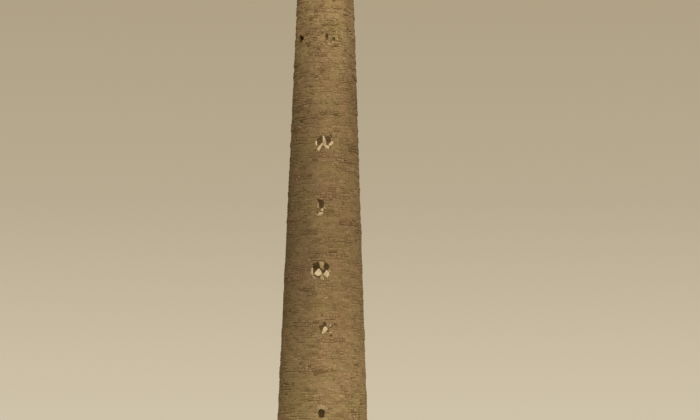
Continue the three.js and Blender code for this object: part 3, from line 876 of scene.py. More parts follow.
def clear_holes(mesh, holes):
    """Moves the corners of stones that reach into a hole back to its edge, straight through the wall."""
    points = np.empty(len(mesh.vertices) * 3)
    mesh.vertices.foreach_get("co", points)
    points = points.reshape(-1, 3)
    for azimuth, height, outline in holes:
        turn = math.radians(azimuth)
        across = points[:, 0] * math.cos(turn) + points[:, 1] * math.sin(turn)
        out = points[:, 0] * math.sin(turn) - points[:, 1] * math.cos(turn)
        rise = points[:, 2] - height
        reach = 0.05 + max(abs(value) for corner in outline for value in corner)
        near = np.flatnonzero((out > 0) & (np.abs(across) < reach) & (np.abs(rise) < reach))
        u, v = across[near], rise[near]
        within = inside(outline, u, v)
        best = np.full(len(near), np.inf)
        best_u, best_v = u.copy(), v.copy()
        for (x0, y0), (x1, y1) in zip(outline, outline[1:] + outline[:1]):
            square = (x1 - x0) ** 2 + (y1 - y0) ** 2
            share = np.clip(((u - x0) * (x1 - x0) + (v - y0) * (y1 - y0)) / square, 0, 1)
            edge_u, edge_v = x0 + share * (x1 - x0), y0 + share * (y1 - y0)
            away = np.hypot(u - edge_u, v - edge_v)
            closer = away < best
            best[closer] = away[closer]
            best_u[closer], best_v[closer] = edge_u[closer], edge_v[closer]
        moved = near[within]
        across[moved], rise[moved] = best_u[within], best_v[within]
        points[moved, 0] = across[moved] * math.cos(turn) + out[moved] * math.sin(turn)
        points[moved, 1] = across[moved] * math.sin(turn) - out[moved] * math.cos(turn)
        points[moved, 2] = rise[moved] + height
    points[:, 2] = np.maximum(points[:, 2], 0)
    mesh.vertices.foreach_set("co", points.ravel())
    mesh.update()


# Rough-hewn stones


def prism(outline, back, front, seat):
    """A closed block with an outline's shape, between two distances from the tower's axis."""
    block = bmesh.new()
    if turning(outline) < 0:
        outline = outline[::-1]
    tail = [block.verts.new(seat @ Vector((x, y, back))) for x, y in outline]
    head = [block.verts.new(seat @ Vector((x, y, front))) for x, y in outline]
    block.faces.new(tail[::-1])
    block.faces.new(head)
    for index in range(len(outline)):
        after = (index + 1) % len(outline)
        block.faces.new((tail[index], tail[after], head[after], head[index]))
    return block


def turned_block(side, point):
    """A closed round block from the radii and heights of its side, which ends in a point at some height."""
    block = bmesh.new()
    around = 28
    turns = [2 * math.pi * step / around for step in range(around)]
    rings = []
    for radius, height in side:
        places = [(radius * math.sin(turn), -radius * math.cos(turn), height) for turn in turns]
        rings.append([block.verts.new(place) for place in places])
    block.faces.new(rings[0][::-1])
    tip = block.verts.new((0, 0, point))
    for step in range(around):
        after = (step + 1) % around
        for lower, upper in zip(rings, rings[1:]):
            block.faces.new((lower[step], lower[after], upper[after], upper[step]))
        block.faces.new((rings[-1][step], rings[-1][after], tip))
    return block


def node_block(node):
    """A CAD node's solid as a closed block."""
    block = bmesh.new()
    block.from_mesh(frame["nodes"][node].data)
    bmesh.ops.remove_doubles(block, verts=block.verts, dist=1e-5)
    return block


def rough_hewn(name, blocks, material, wear=0.007, voxel=VOXEL, shades=()):
    """One piece of rough-hewn stones: each block gets worn edges, uneven faces and its own shade."""
    chance = random.Random(len(name))
    points, faces, tints = [], [], []
    for index, block in enumerate(blocks):
        mesh = bpy.data.meshes.new("block")
        block.to_mesh(mesh)
        block.free()
        rough = new_piece("block", mesh)
        remesh = rough.modifiers.new("Round off", "REMESH")
        remesh.mode = "VOXEL"
        remesh.voxel_size = voxel
        graph = bpy.context.evaluated_depsgraph_get()
        worn = bpy.data.meshes.new_from_object(rough.evaluated_get(graph), depsgraph=graph)
        start = len(points)
        offset = Vector((index * 3.7, 0, 0))
        shade = shades[index] if shades else chance.uniform(0.62, 0.86)
        at_head, at_foot = shade if isinstance(shade, tuple) else (shade, shade)
        heights = [vertex.co.z for vertex in worn.vertices]
        foot, head = min(heights), max(heights)
        # Dents some 110 mm across, and shallower ones of 30 mm
        for vertex in worn.vertices:
            place = vertex.co + offset
            uneven = noise.fractal(place * 9, 0.9, 2.1, 3) * wear + noise.noise(place * 34) * wear * 0.3
            moved = vertex.co + vertex.normal * (uneven + 0.4 * wear)
            moved.z = max(0, moved.z)
            points.append(moved)
            tints.append(at_foot + (at_head - at_foot) * (vertex.co.z - foot) / (head - foot))
        faces += [[start + corner for corner in face.vertices] for face in worn.polygons]
        bpy.data.objects.remove(rough)
        bpy.data.meshes.remove(mesh)
        bpy.data.meshes.remove(worn)
    mesh = bpy.data.meshes.new(name)
    mesh.from_pydata(points, [], faces)
    mesh.attributes.new("tint", "FLOAT", "POINT").data.foreach_set("value", tints)
    mesh.polygons.foreach_set("use_smooth", [True] * len(mesh.polygons))
    mesh.materials.append(material)
    mesh.update()
    return new_piece(name, mesh)


def arc_blocks(centre, inner, outer, count, back, front, seat, joint):
    """The wedge-shaped stones of a half-round arch, left to right."""
    blocks = []
    for index in range(count):
        start = math.pi - math.pi * index / count
        end = math.pi - math.pi * (index + 1) / count
        outline = []
        for radius, turns in ((outer, (start, end)), (inner, (end, start))):
            trim = joint / 2 / radius
            first = turns[0] - math.copysign(trim, turns[0] - turns[1])
            last = turns[1] + math.copysign(trim, turns[0] - turns[1])
            for step in range(4):
                turn = first + (last - first) * step / 3
                outline.append((centre[0] + radius * math.cos(turn), centre[1] + radius * math.sin(turn)))
        blocks.append(prism(outline, back, front, seat))
    return blocks


def face_distance(aside, height):
    """How far off the wall face is at a height, straight out from a point to the side of the tower's axis."""
    radius = SHAFT.radius(height / math.cos(SHAFT.lean))
    return math.sqrt(max(0.01, radius**2 - aside**2))


def bedded_block(outline, azimuth, height, spot, proud, deep):
    """A block with an outline's shape, bedded in the wall. It is proud of the face by so much at one spot."""
    front = face_distance(spot[0], height + spot[1]) + proud
    return prism(outline, front - deep, front, on_wall(azimuth, height))


# Settings


class TowerRubble(PropertyGroup):
    bed_height: FloatProperty(
        name="Bed height", description="Mean height between the level beds that the rubble is brought up to",
        default=0.27, min=0.12, max=1.0, unit="LENGTH",
    )
    stone_height: FloatProperty(
        name="Stone height", description="Usual height of a facing stone, joint included",
        default=0.138, min=0.05, max=0.4, unit="LENGTH",
    )
    stone_length: FloatProperty(
        name="Stone length", description="Usual length of a facing stone, joint included",
        default=0.21, min=0.08, max=1.0, unit="LENGTH",
    )
    joint: FloatProperty(
        name="Joint", description="Mean width of the joint between two stones",
        default=0.004, min=0.002, max=0.04, unit="LENGTH",
    )
    proud: FloatProperty(
        name="Proud", description="How far the stone faces stand out from the mortar, on average",
        default=0.013, min=0.0, max=0.05, unit="LENGTH",
    )
    relief: FloatProperty(
        name="Relief", description="How much the stones differ in how far they stand out",
        default=0.01, min=0.0, max=0.03, unit="LENGTH",
    )
    roughness: FloatProperty(
        name="Unevenness", description="How far the stones' corners wander from true",
        default=0.024, min=0.0, max=0.06, unit="LENGTH",
    )
    seed: IntProperty(name="Seed", description="Changes which stone falls where", default=11, min=0)


class TowerColours(PropertyGroup):
    # Painted shadow: the colour of the dark slivers at the back of the washed-out joints
    soot_and_shadow: FloatVectorProperty(
        name="Soot", description="Packing in the washed-out joints", subtype="COLOR", size=4,
        default=hex_colour("554628"), min=0, max=1,
    )
    dark_stone: FloatVectorProperty(
        name="Dark stone", description="The darkest facing stones", subtype="COLOR", size=4,
        default=hex_colour("806e4c"), min=0, max=1,
    )
    olive_stone: FloatVectorProperty(
        name="Olive stone", description="Facing stones that weather towards olive", subtype="COLOR", size=4,
        default=hex_colour("8f7d5b"), min=0, max=1,
    )
    brown_stone: FloatVectorProperty(
        name="Brown stone", description="The commonest facing stones", subtype="COLOR", size=4,
        default=hex_colour("a08e6c"), min=0, max=1,
    )
    red_stone: FloatVectorProperty(
        name="Reddish stone", description="Facing stones that weather towards red", subtype="COLOR", size=4,
        default=hex_colour("ac9a78"), min=0, max=1,
    )
    buff_stone: FloatVectorProperty(
        name="Buff stone", description="The palest facing stones", subtype="COLOR", size=4,
        default=hex_colour("beac8a"), min=0, max=1,
    )
    mortar: FloatVectorProperty(
        name="Mortar", description="Weathered lime mortar in the joints", subtype="COLOR", size=4,
        default=hex_colour("ab9974"), min=0, max=1,
    )
    pale_stone: FloatVectorProperty(
        name="Pale stone", description="Limestone of the openings and the capstone", subtype="COLOR", size=4,
        default=hex_colour("d6ccba"), min=0, max=1,
    )
    floor_stone: FloatVectorProperty(
        name="Flagstone", description="Worn flags of the floors", subtype="COLOR", size=4,
        default=hex_colour("8a7a60"), min=0, max=1,
    )


class TowerStage(PropertyGroup):
    key_strength: FloatProperty(
        name="Key light", description="Strength of the soft sun from the front right", default=2.6, min=0,
    )
    key_azimuth: FloatProperty(
        name="Key azimuth", description="Side that the key light comes from", subtype="ANGLE",
        default=math.radians(14),
    )
    key_elevation: FloatProperty(
        name="Key elevation", description="Height of the key light above the horizon", subtype="ANGLE",
        default=math.radians(36),
    )
    room_light: FloatProperty(
        name="Room light", description="Watts that the power of each dim lamp inside is a multiple of",
        default=6.0, min=0,
    )
    floor: FloatVectorProperty(
        name="Floor", description="Plain pale floor", subtype="COLOR", size=4,
        default=hex_colour("c9bda3"), min=0, max=1,
    )


# Materials


def weathering_and_shade(tree, place):
    """Adds the stains that run over stone and mortar alike, and the painted shade on the left side, and
    returns the colour that they let through.
    """
    # Broad stains of a metre or so, towards olive or red
    stains = add_node(tree, "TexNoise", {"Vector": place, "Scale": 0.8, "Detail": 4.0})
    stain_colour = add_node(tree, "ValToRGB", [stains], stops=[
        (0.36, (0.97, 1.005, 0.93)), (0.5, (1, 1, 1)), (0.64, (1.04, 0.98, 1.03)),
    ])
    # The middle of the shaft has weathered darker and redder than its head and its foot
    up = add_node(tree, "SeparateXYZ", [place]).outputs["Z"]
    share = add_node(tree, "Math", [up, CAD_BOX[1].z], operation="DIVIDE")
    height_colour = add_node(tree, "ValToRGB", [share], stops=[
        (0.14, (0.8, 0.795, 0.8)),
        (0.22, (0.77, 0.755, 0.765)),
        (0.32, (0.65, 0.622, 0.63)),
        (0.42, (0.588, 0.56, 0.573)),
        (0.51, (0.613, 0.582, 0.594)),
        (0.63, (0.69, 0.665, 0.675)),
        (0.75, (0.885, 0.87, 0.885)),
    ])
    colour = add_node(tree, "VectorMath", [stain_colour, height_colour], operation="MULTIPLY").outputs[0]
    # Two sides of the shaft are darkened, with ragged edges: the left with painted shade, cool and darkest
    # half way up, on the side turned from the key light, and the right with soot under the eaves
    level_way = add_node(tree, "VectorMath", [place, (1.0, 1.0, 0.0)], operation="MULTIPLY")
    outward = add_node(tree, "VectorMath", [level_way], operation="NORMALIZE")
    # How strong the painted shade on the left is, up the shaft
    shaded_left = ((0.15, 0.17), (0.35, 0.27), (0.5, 0.26), (0.72, 0.18))
    soot_and_shadow = ((0.5, 0.0), (0.62, 0.22), (0.9, 0.22))
    for side, edges, film, strengths in (
        ((-0.819, -0.574, 0.0), (0.8, 1.2), (0.1, 0.14, 0.2, 1), shaded_left),
        ((0.985, -0.174, 0.0), (0.9, 1.25), (0.1, 0.1, 0.1, 1), soot_and_shadow),
    ):
        facing = add_node(tree, "VectorMath", [outward, side], operation="DOT_PRODUCT").outputs["Value"]
        ragged = add_node(tree, "Math", [stains, 0.5, facing], operation="MULTIPLY_ADD")
        reached = add_node(tree, "MapRange", [ragged, *edges], interpolation_type="SMOOTHSTEP")
        strength = add_node(tree, "ValToRGB", [share], stops=[(at, (value,) * 3) for at, value in strengths])
        film_share = add_node(tree, "Math", [reached, strength], operation="MULTIPLY")
        soiled_and_shaded = add_node(tree, "Mix", {"Factor": film_share, 6: colour, 7: film},
                          data_type="RGBA", blend_type="MULTIPLY")
        colour = soiled_and_shaded.outputs[2]
    return colour


def facing_material(colours):
    """Brown sandstone split by hand and left rough: dull, mottled stone by stone, darker in the joints by
    painted shade on the stones' sides.
    """
    material, tree = new_material(HAND_SPLIT)
    place = add_node(tree, "TexCoord").outputs["Object"]
    tint = add_node(tree, "Attribute", attribute_name="tint").outputs["Fac"]
    stone = add_node(tree, "ValToRGB", [tint], stops=[
        # At 0, the dark slivers in the washed-out joints: painted shadow
        (0.0, colours.soot_and_shadow),
        (0.03, colours.dark_stone),
        (0.3, colours.olive_stone),
        (0.5, colours.brown_stone),
        (0.74, colours.red_stone),
        (1.0, colours.buff_stone),
    ])
    stained = add_node(tree, "VectorMath", [stone, weathering_and_shade(tree, place)], operation="MULTIPLY")
    # Blotches some 240 mm long and 100 mm high, over several stones: lichen, soot and bleached patches
    lying = add_node(tree, "VectorMath", [place, (1.0, 1.0, 2.3)], operation="MULTIPLY")
    blotches = add_node(tree, "TexNoise", {"Vector": lying, "Scale": 4.2, "Detail": 2.5, "Roughness": 0.5})
    blotch_colour = add_node(tree, "ValToRGB", [blotches], stops=[
        (0.3, (0.87, 0.85, 0.77)), (0.5, (1, 1, 1)), (0.7, (1.13, 1.14, 1.2)),
    ])
    mottled = add_node(tree, "VectorMath", [stained, blotch_colour], operation="MULTIPLY")
    # Grain of a millimetre wouldn't show, so it is drawn at 15 to 40 mm
    grain = add_node(tree, "TexNoise", {"Vector": place, "Scale": 26.0, "Detail": 4.0, "Roughness": 0.6})
    grain_shade = add_node(tree, "MapRange", [grain, 0.3, 0.7, 0.88, 1.1])
    # Painted shade: the sides of each stone, back towards its tail in the joint, are a little darker
    open_to_light = add_node(tree, "Attribute", attribute_name="open_to_light").outputs["Fac"]
    painted_joint_shade = add_node(tree, "MapRange", [open_to_light, 0.3, 1.0, 0.95, 1.0])
    shade = add_node(tree, "Math", [grain_shade, painted_joint_shade], operation="MULTIPLY")
    shaded = add_node(tree, "VectorMath", {0: mottled, "Scale": shade}, operation="SCALE")
    bump = add_node(tree, "Bump", {"Strength": 0.7, "Distance": 0.012, "Height": grain})
    surface = add_node(tree, "BsdfPrincipled", {
        "Base Color": shaded, "Roughness": 0.92, "Specular IOR Level": 0.25, "Normal": bump,
    })
    add_node(tree, "OutputMaterial", {"Surface": surface})
    return material


def wall_material(colours):
    """Lime mortar and rubble core: sandy mortar in the joints outside, rough courses on the inner faces."""
    material, tree = new_material("Lime mortar over rubble core")
    place = add_node(tree, "TexCoord").outputs["Object"]
    split = add_node(tree, "SeparateXYZ", [place]).outputs
    back = add_node(tree, "Math", [split["Y"], -1.0], operation="MULTIPLY")
    azimuth = add_node(tree, "Math", [split["X"], back], operation="ARCTAN2")
    level = add_node(tree, "CombineXYZ", [split["X"], split["Y"], 0.0])
    radius = add_node(tree, "VectorMath", [level], operation="LENGTH").outputs["Value"]
    along = add_node(tree, "Math", [azimuth, 1.5, radius], operation="MULTIPLY_ADD")
    unrolled = add_node(tree, "CombineXYZ", [along, split["Z"], 0.0])
    # Inside, uneven courses of 125 mm in stones of about 340 mm
    stray = add_node(tree, "TexNoise", {"Vector": place, "Scale": 5.0, "Detail": 2.0}).outputs["Color"]
    moved = add_node(tree, "VectorMath", {0: stray, "Scale": 0.07}, operation="SCALE")
    uneven = add_node(tree, "VectorMath", [unrolled, moved], operation="ADD")
    rows = add_node(tree, "TexBrick", {
        "Vector": uneven,
        "Color1": colours.olive_stone,
        "Color2": colours.red_stone,
        "Mortar": colours.mortar,
        "Scale": 1.0,
        "Mortar Size": 0.014,
        "Mortar Smooth": 0.5,
        "Brick Width": 0.34,
        "Row Height": 0.125,
    }, offset=0.45, squash=1.35, squash_frequency=3)
    # A place's radius carried down the lean of the wall to its foot tells how deep in the wall the place is.
    # The reveals of the openings get a little painted shade near the face
    depth = add_node(tree, "Math", [split["Z"], math.tan(SHAFT.lean), radius], operation="MULTIPLY_ADD")
    reveal = SHAFT.foot_radius
    reveal_painted_shade = add_node(tree, "MapRange", [depth, reveal - 0.5, reveal - 0.3, 1.0, 0.9])
    within = add_node(tree, "VectorMath", {0: rows, "Scale": reveal_painted_shade}, operation="SCALE")
    # Outside, mortar only, darkened in stretches of nearly a metre along the courses: partly soot, partly
    # painted shadow of deep bed joints
    long_way = add_node(tree, "VectorMath", [place, (1.0, 1.0, 5.0)], operation="MULTIPLY")
    soot_and_shadow = add_node(tree, "TexNoise", {"Vector": long_way, "Scale": 1.3, "Detail": 2.0})
    soot_and_joint_shadow = add_node(tree, "MapRange", [soot_and_shadow, 0.4, 0.65, 1.02, 0.75])
    mortar = add_node(tree, "VectorMath", {0: tuple(colours.mortar)[:3], "Scale": soot_and_joint_shadow}, operation="SCALE")
    old_mortar = add_node(tree, "VectorMath", [mortar, weathering_and_shade(tree, place)], operation="MULTIPLY")
    outside = add_node(tree, "Math", [depth, reveal - 0.03], operation="GREATER_THAN")
    body = add_node(tree, "Mix", {"Factor": outside, 6: within, 7: old_mortar}, data_type="RGBA").outputs[2]
    # The small stones in the mortar, of 10 to 35 mm. Its sand is too fine to show
    grain = add_node(tree, "TexNoise", {"Vector": place, "Scale": 30.0, "Detail": 4.0})
    grain_shade = add_node(tree, "MapRange", [grain, 0.3, 0.7, 0.8, 1.15])
    shaded = add_node(tree, "VectorMath", {0: body, "Scale": grain_shade}, operation="SCALE")
    relief = add_node(tree, "Math", [grain, 0.5, rows.outputs["Fac"]], operation="MULTIPLY_ADD")
    bump = add_node(tree, "Bump", {"Strength": 0.8, "Distance": 0.015, "Height": relief}, invert=True)
    surface = add_node(tree, "BsdfPrincipled", {
        "Base Color": shaded, "Roughness": 0.95, "Specular IOR Level": 0.2, "Normal": bump,
    })
    add_node(tree, "OutputMaterial", {"Surface": surface})
    return material


def hewn_material(name, tones, pit_size):
    """Stone dressed with a pick: chalky and dull, with pits and stains. Its tones run from dim to pale."""
    material, tree = new_material(name)
    place = add_node(tree, "TexCoord").outputs["Object"]
    tint = add_node(tree, "Attribute", attribute_name="tint").outputs["Fac"]
    tone = add_node(tree, "ValToRGB", [tint], stops=tones)
    # Stains of some 140 mm
    blotches = add_node(tree, "TexNoise", {"Vector": place, "Scale": 7.0, "Detail": 5.0, "Roughness": 0.6})
    stains = add_node(tree, "ValToRGB", [blotches], stops=[(0.34, (0.68, 0.63, 0.56)), (0.58, (1, 1, 1))])
    stained = add_node(tree, "VectorMath", [tone, stains], operation="MULTIPLY")
    pits = add_node(tree, "TexNoise", {
        "Vector": place, "Scale": 1 / pit_size, "Detail": 4.0, "Roughness": 0.65,
    })
    pit_shade = add_node(tree, "MapRange", [pits, 0.3, 0.6, 0.82, 1.04])
    shaded = add_node(tree, "VectorMath", {0: stained, "Scale": pit_shade}, operation="SCALE")
    bump = add_node(tree, "Bump", {"Strength": 0.6, "Distance": 0.006, "Height": pits})
    surface = add_node(tree, "BsdfPrincipled", {
        "Base Color": shaded, "Roughness": 0.88, "Specular IOR Level": 0.3, "Normal": bump,
    })
    add_node(tree, "OutputMaterial", {"Surface": surface})
    return material


def finish_of(name):
    """A finish that an earlier step has made."""
    return bpy.data.materials[name]


# Steps


class TOWER_OT_finishes(Operator):
    """Make the stone and mortar finishes, and give the walls and floors of the frame theirs"""

    bl_idname = "tower.finishes"
    bl_label = "Make finishes"

    def execute(self, context):
        colours = context.scene.tower_colours
        facing_material(colours)
        wall = wall_material(colours)
        black = (0, 0, 0)
        pale_tones = [
            (0.1, hex_colour("615235")),
            (0.25, hex_colour("746a48")),
            (0.5, hex_colour("9b8d72")),
            (0.72, hex_colour("b7a98c")),
            (1.0, colours.pale_stone),
        ]
        hewn_material(ROUGH_PALE, pale_tones, 0.028)
        brown_tones = [(0.0, black), (0.3, hex_colour("5f4820")), (1.0, colours.buff_stone)]
        hewn_material(ROUGH_BROWN, brown_tones, 0.028)
        flags = hewn_material(WORN_FLAGS, [(0.0, black), (1.0, colours.floor_stone)], 0.04)
        slots = {material["slot"] for material in frame["record"]["materials"]}
        if slots != {"rubble", "pale_stone", "floor_stone"}:
            raise RuntimeError(f"the record's finishes have changed: {sorted(slots)}")
        for name, node in frame["nodes"].items():
            finish = flags if name.endswith("_floor") else wall
            if not node.data.materials:
                node.data.materials.append(finish)
            node.material_slots[0].material = finish
        return {"FINISHED"}


class TOWER_OT_facing(Operator):
    """Lay the rubble of the shaft in its rough beds, one piece to each lift"""

    bl_idname = "tower.facing"
    bl_label = "Lay the facing"

    def execute(self, context):
        rubble = context.scene.tower_rubble
        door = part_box("door_arch")
        half = door[1].x
        springing = door[0].z
        doorway = [(-half, -0.1), (half, -0.1)]
        doorway += [
            (half * math.cos(math.pi * step / 16), springing + half * math.sin(math.pi * step / 16))
            for step in range(17)
        ]
        holes = [(0, 0, doorway)]
        openings = (*OPENINGS.values(), *BACK_LIGHTS)
        holes += [(a, z, grown(outline, -OPENING_LAP)) for a, z, outline in openings]
        holes += SOCKETS
        holes += [(a, z, grown(outline, PALE_JOINT)) for a, z, _, outline in BEDDED_PALE_STONES]
        holes += [(a, z, grown(stone, PALE_JOINT)) for a, z, _ in BACK_LIGHTS for stone in (LINTEL, SILL)]
        stones = lay_rubble(SHAFT, rubble, rubble.seed, holes)
        for lift in SHAFT_LIFTS:
            low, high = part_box(f"{lift}_wall_back")
            laid = [stone for stone in stones if low.z <= SHAFT.height(stone["up"]) < high.z]
            finish = finish_of(HAND_SPLIT)
            piece = lay_stones(f"{lift}_facing", SHAFT, laid, finish, rubble.roughness, rubble.seed)
            clear_holes(piece.data, holes)
            settle(piece)
        return {"FINISHED"}


class TOWER_OT_openings(Operator):
    """Set the pale stones in and about the front openings, and the lintels and sills of the back ones"""

    bl_idname = "tower.openings"
    bl_label = "Set the opening stones"

    def execute(self, context):
        pale = finish_of(ROUGH_PALE)
        for node, shade in sorted(NODE_SHADES.items()):
            piece = rough_hewn(f"{node}_stone", [node_block(node)], pale, shades=[shade])
            settle(piece, [node])

        azimuth, height, _ = OPENINGS["first_light"]
        seat = on_wall(azimuth, height)
        front = face_distance(0, height) + 0.014
        centre, count = (0, HOOD_SPRINGING), len(HOOD_SHADES)
        hood = arc_blocks(centre, *HOOD_RADII, count, front - 0.2, front, seat, HOOD_JOINT)
        piece = rough_hewn("first_light_hood_stones", hood, pale, wear=0.005, voxel=0.012, shades=HOOD_SHADES)
        settle(piece, ["first_light_hood"])

        blocks = []
        for azimuth, height, _, outline in BEDDED_PALE_STONES:
            middle = [sum(places) / len(outline) for places in zip(*outline)]
            blocks.append(bedded_block(outline, azimuth, height, middle, proud=0.016, deep=0.12))
        shades = [shade for _, _, shade, _ in BEDDED_PALE_STONES]
        piece = rough_hewn("pale_face_stones", blocks, pale, wear=0.008, voxel=0.013, shades=shades)
        settle(piece)

        # Stubs of stone at the back of the sockets: dark brown, partly painted shade of the socket
        blocks = [
            bedded_block(outline, azimuth, height, (0.12, outline[0][1]), proud=0.022, deep=0.2)
            for azimuth, height, _ in BACK_LIGHTS
            for outline in (LINTEL, SILL)
        ]
        brown = finish_of(ROUGH_BROWN)
        shades = [0.9] * len(blocks)
        settle(rough_hewn("lintels_and_sills", blocks, brown, voxel=0.02, shades=shades))

        blocks = [
            bedded_block(grown(outline, -0.003), azimuth, height, outline[0], proud=-0.07, deep=0.08)
            for azimuth, height, outline in SOCKETS
        ]
        # A dark plate over the far side of the side window: painted shade where the sun would light the
        # reveal
        azimuth, height, _ = OPENINGS["side_window"]
        blocks.append(bedded_block(SIDE_WINDOW_SHADOW_PLATE, azimuth, height, (0.14, 0), proud=-0.005, deep=0.45))
        shades = [SOCKET_SHADE] * len(SOCKETS) + [SIDE_WINDOW_SHADOW_TONE]
        settle(rough_hewn("broken_stones", blocks, brown, voxel=0.012, shades=shades))
        return {"FINISHED"}


class TOWER_OT_doorway(Operator):
    """Build the doorway's arch and jambs of pale blocks, its worn threshold and the flags inside"""

    bl_idname = "tower.doorway"
    bl_label = "Build the doorway"

    def execute(self, context):
        pale = finish_of(ROUGH_PALE)
        low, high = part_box("door_arch")
        inner = -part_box("door_jamb_left")[1].x
        seat = on_wall(0, 0)
        arch = arc_blocks((0, low.z), inner, high.x, ARCH_STONES, -high.y, -low.y, seat, DRESSED_JOINT)
        piece = rough_hewn("door_arch_stones", arch, pale, **DRESSED)
        settle(piece, ["door_arch"])
        for side in ("left", "right"):
            low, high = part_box(f"door_jamb_{side}")
            tall = (high.z - low.z) / JAMB_STONES
            blocks = []
            for index in range(JAMB_STONES):
                foot = low.z + index * tall
                head = foot + tall - DRESSED_JOINT
                outline = [(low.x, foot), (high.x, foot), (high.x, head), (low.x, head)]
                blocks.append(prism(outline, -high.y, -low.y, seat))
            piece = rough_hewn(f"door_jamb_{side}_stones", blocks, pale, **DRESSED)
            settle(piece, [f"door_jamb_{side}"])
        block = node_block("door_threshold")
        piece = rough_hewn("door_threshold_stone", [block], pale, wear=0.009, voxel=0.022)
        settle(piece, ["door_threshold"])

        seed = context.scene.tower_rubble.seed
        low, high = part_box("ground_floor")
        rings = Face(high.x - 0.01, high.z - 0.004, 0.16, high.z - 0.004)
        flags = lay_rings(rings, FloorFlags, seed + 5)
        piece = lay_stones("ground_floor_flags", rings, flags, finish_of(WORN_FLAGS), 0.012, seed)
        settle(piece)
        return {"FINISHED"}


class FloorFlags:
    """Rings of flags, wider than the wall's courses and bedded close."""

    stone_height = 0.36
    stone_length = 0.5
    joint = 0.014
    proud = 0.006
    relief = 0.002


class CapSlabs:
    """Rings of thin slabs on the cone of the cap."""

    stone_height = 0.13
    stone_length = 0.36
    joint = 0.012
    proud = 0.012
    relief = 0.007


class TOWER_OT_cap(Operator):
    """Lay the projecting eaves, the courses of the conical cap and the capstone"""

    bl_idname = "tower.cap"
    bl_label = "Lay the cap"

    def execute(self, context):
        rubble = context.scene.tower_rubble
        facing = finish_of(HAND_SPLIT)
        chamfer, upright, cone = cap_faces()
        layers = (("eaves_corbels", chamfer, 1), ("eaves_slabs", upright, 1), ("cap_slabs", cone, None))
        for name, face, rings in layers:
            stones = lay_rings(face, CapSlabs, rubble.seed + len(name), rings)
            piece = lay_stones(name, face, stones, facing, rubble.roughness * 0.7, rubble.seed)
            settle(piece)
        low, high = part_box("capstone")
        tall = high.z - low.z
        side = [(radius, low.z + up * tall / CAPSTONE_HEIGHT) for radius, up in CAPSTONE_SIDE]
        block = turned_block(side, high.z)
        pale = finish_of(ROUGH_PALE)
        stone = rough_hewn("capstone_stone", [block], pale, wear=0.008, voxel=0.012)
        settle(stone, ["capstone"])
        return {"FINISHED"}


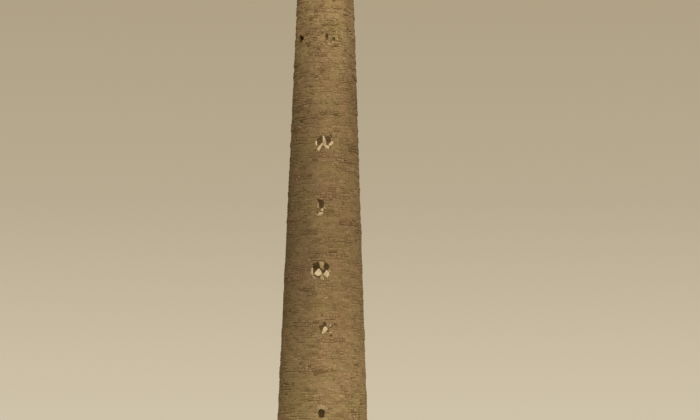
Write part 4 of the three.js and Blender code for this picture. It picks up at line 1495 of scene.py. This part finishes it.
class TOWER_OT_stage(Operator):
    """Set the plain pale floor, the soft light and the camera at the photograph's viewing angle"""

    bl_idname = "tower.stage"
    bl_label = "Set the stage"

    def execute(self, context):
        scene = context.scene
        stage = scene.tower_stage
        scene.view_settings.view_transform = "Standard"

        mesh = bpy.data.meshes.new("floor")
        reach = 600
        corners = [(-reach, -reach, 0), (reach, -reach, 0), (reach, reach, 0), (-reach, reach, 0)]
        mesh.from_pydata(corners, [], [(0, 1, 2, 3)])
        floor = new_piece("floor", mesh)
        paint, tree = new_material("Matt paint, rolled")
        surface = add_node(tree, "BsdfPrincipled", {"Base Color": stage.floor, "Roughness": 0.95})
        add_node(tree, "OutputMaterial", {"Surface": surface})
        mesh.materials.append(paint)

        world = bpy.data.worlds.new("Pale backdrop")
        world.use_nodes = True
        tree = world.node_tree
        tree.nodes.clear()
        aim = add_node(tree, "TexCoord").outputs["Generated"]
        upwards = add_node(tree, "SeparateXYZ", [aim]).outputs["Z"]
        tone = add_node(tree, "ValToRGB", [upwards], stops=[
            (0.0, hex_colour("d4c8b0")),
            (0.06, hex_colour("cbbea5")),
            (0.14, hex_colour("b8ab91")),
            (0.26, hex_colour("ae9f83")),
            (1.0, hex_colour("a89a80")),
        ])
        backdrop = add_node(tree, "Background", {"Color": tone, "Strength": 1.0})
        add_node(tree, "OutputWorld", {"Surface": backdrop})
        scene.world = world

        key = bpy.data.lights.new("key", "SUN")
        key.energy = stage.key_strength
        key.color = hex_colour("fff1da")[:3]
        key.angle = math.radians(24)
        lamp = bpy.data.objects.new("key", key)
        level = math.cos(stage.key_elevation)
        towards = Vector((
            math.sin(stage.key_azimuth) * level,
            -math.cos(stage.key_azimuth) * level,
            math.sin(stage.key_elevation),
        ))
        lamp.rotation_euler = towards.to_track_quat("Z", "Y").to_euler()
        lamp.location = towards * 60
        scene.collection.objects.link(lamp)

        for index, (height, share) in enumerate(ROOM_LAMPS):
            dim = bpy.data.lights.new(f"room_{index}", "SPOT")
            dim.energy = stage.room_light * share
            dim.color = hex_colour("ffe3c2")[:3]
            dim.shadow_soft_size = 0.25
            dim.spot_size = math.radians(146)
            dim.spot_blend = 0.1
            lamp = bpy.data.objects.new(f"room_{index}", dim)
            lamp.location = (0, 0.35, height)
            lamp.rotation_euler = (math.pi, 0, 0)
            scene.collection.objects.link(lamp)

        lens = bpy.data.cameras.new("camera")
        lens.sensor_width = CAMERA_SENSOR
        lens.lens = CAMERA_LENS
        lens.clip_end = 2000
        camera = bpy.data.objects.new("camera", lens)
        pitch, yaw, roll = (math.radians(angle) for angle in (CAMERA_PITCH, CAMERA_YAW, CAMERA_ROLL))
        ahead = Vector((math.sin(yaw) * math.cos(pitch), math.cos(yaw) * math.cos(pitch), math.sin(pitch)))
        right = Vector((math.cos(yaw), -math.sin(yaw), 0))
        above = right.cross(ahead)
        turned = Matrix.Rotation(-roll, 3, ahead)
        right, above = turned @ right, turned @ above
        aimed = Matrix((right, above, -ahead)).transposed().to_4x4()
        camera.matrix_world = Matrix.Translation(CAMERA_PLACE) @ aimed
        scene.collection.objects.link(camera)
        scene.camera = camera
        return {"FINISHED"}


class TOWER_PT_panel(Panel):
    """Sizes, colours and steps of the tower"""

    bl_idname = "TOWER_PT_panel"
    bl_label = "Round rubble tower"
    bl_space_type = "VIEW_3D"
    bl_region_type = "UI"
    bl_category = "Tower"

    def draw(self, context):
        layout = self.layout
        for group in (context.scene.tower_rubble, context.scene.tower_colours, context.scene.tower_stage):
            box = layout.box()
            for name in type(group).__annotations__:
                box.prop(group, name)
        for step in STEPS:
            layout.operator(step.bl_idname)


STEPS = (
    TOWER_OT_finishes,
    TOWER_OT_facing,
    TOWER_OT_openings,
    TOWER_OT_doorway,
    TOWER_OT_cap,
    TOWER_OT_stage,
)
GROUPS = (TowerRubble, TowerColours, TowerStage)


def register():
    for kind in (*GROUPS, *STEPS, TOWER_PT_panel):
        bpy.utils.register_class(kind)
    bpy.types.Scene.tower_rubble = PointerProperty(type=TowerRubble)
    bpy.types.Scene.tower_colours = PointerProperty(type=TowerColours)
    bpy.types.Scene.tower_stage = PointerProperty(type=TowerStage)


def unregister():
    del bpy.types.Scene.tower_stage
    del bpy.types.Scene.tower_colours
    del bpy.types.Scene.tower_rubble
    for kind in (TOWER_PT_panel, *reversed(STEPS), *reversed(GROUPS)):
        bpy.utils.unregister_class(kind)


def main():
    register()
    bpy.ops.tower.finishes()
    bpy.ops.tower.facing()
    bpy.ops.tower.openings()
    bpy.ops.tower.doorway()
    bpy.ops.tower.cap()
    bpy.ops.tower.stage()


if __name__ == "__main__":
    main()
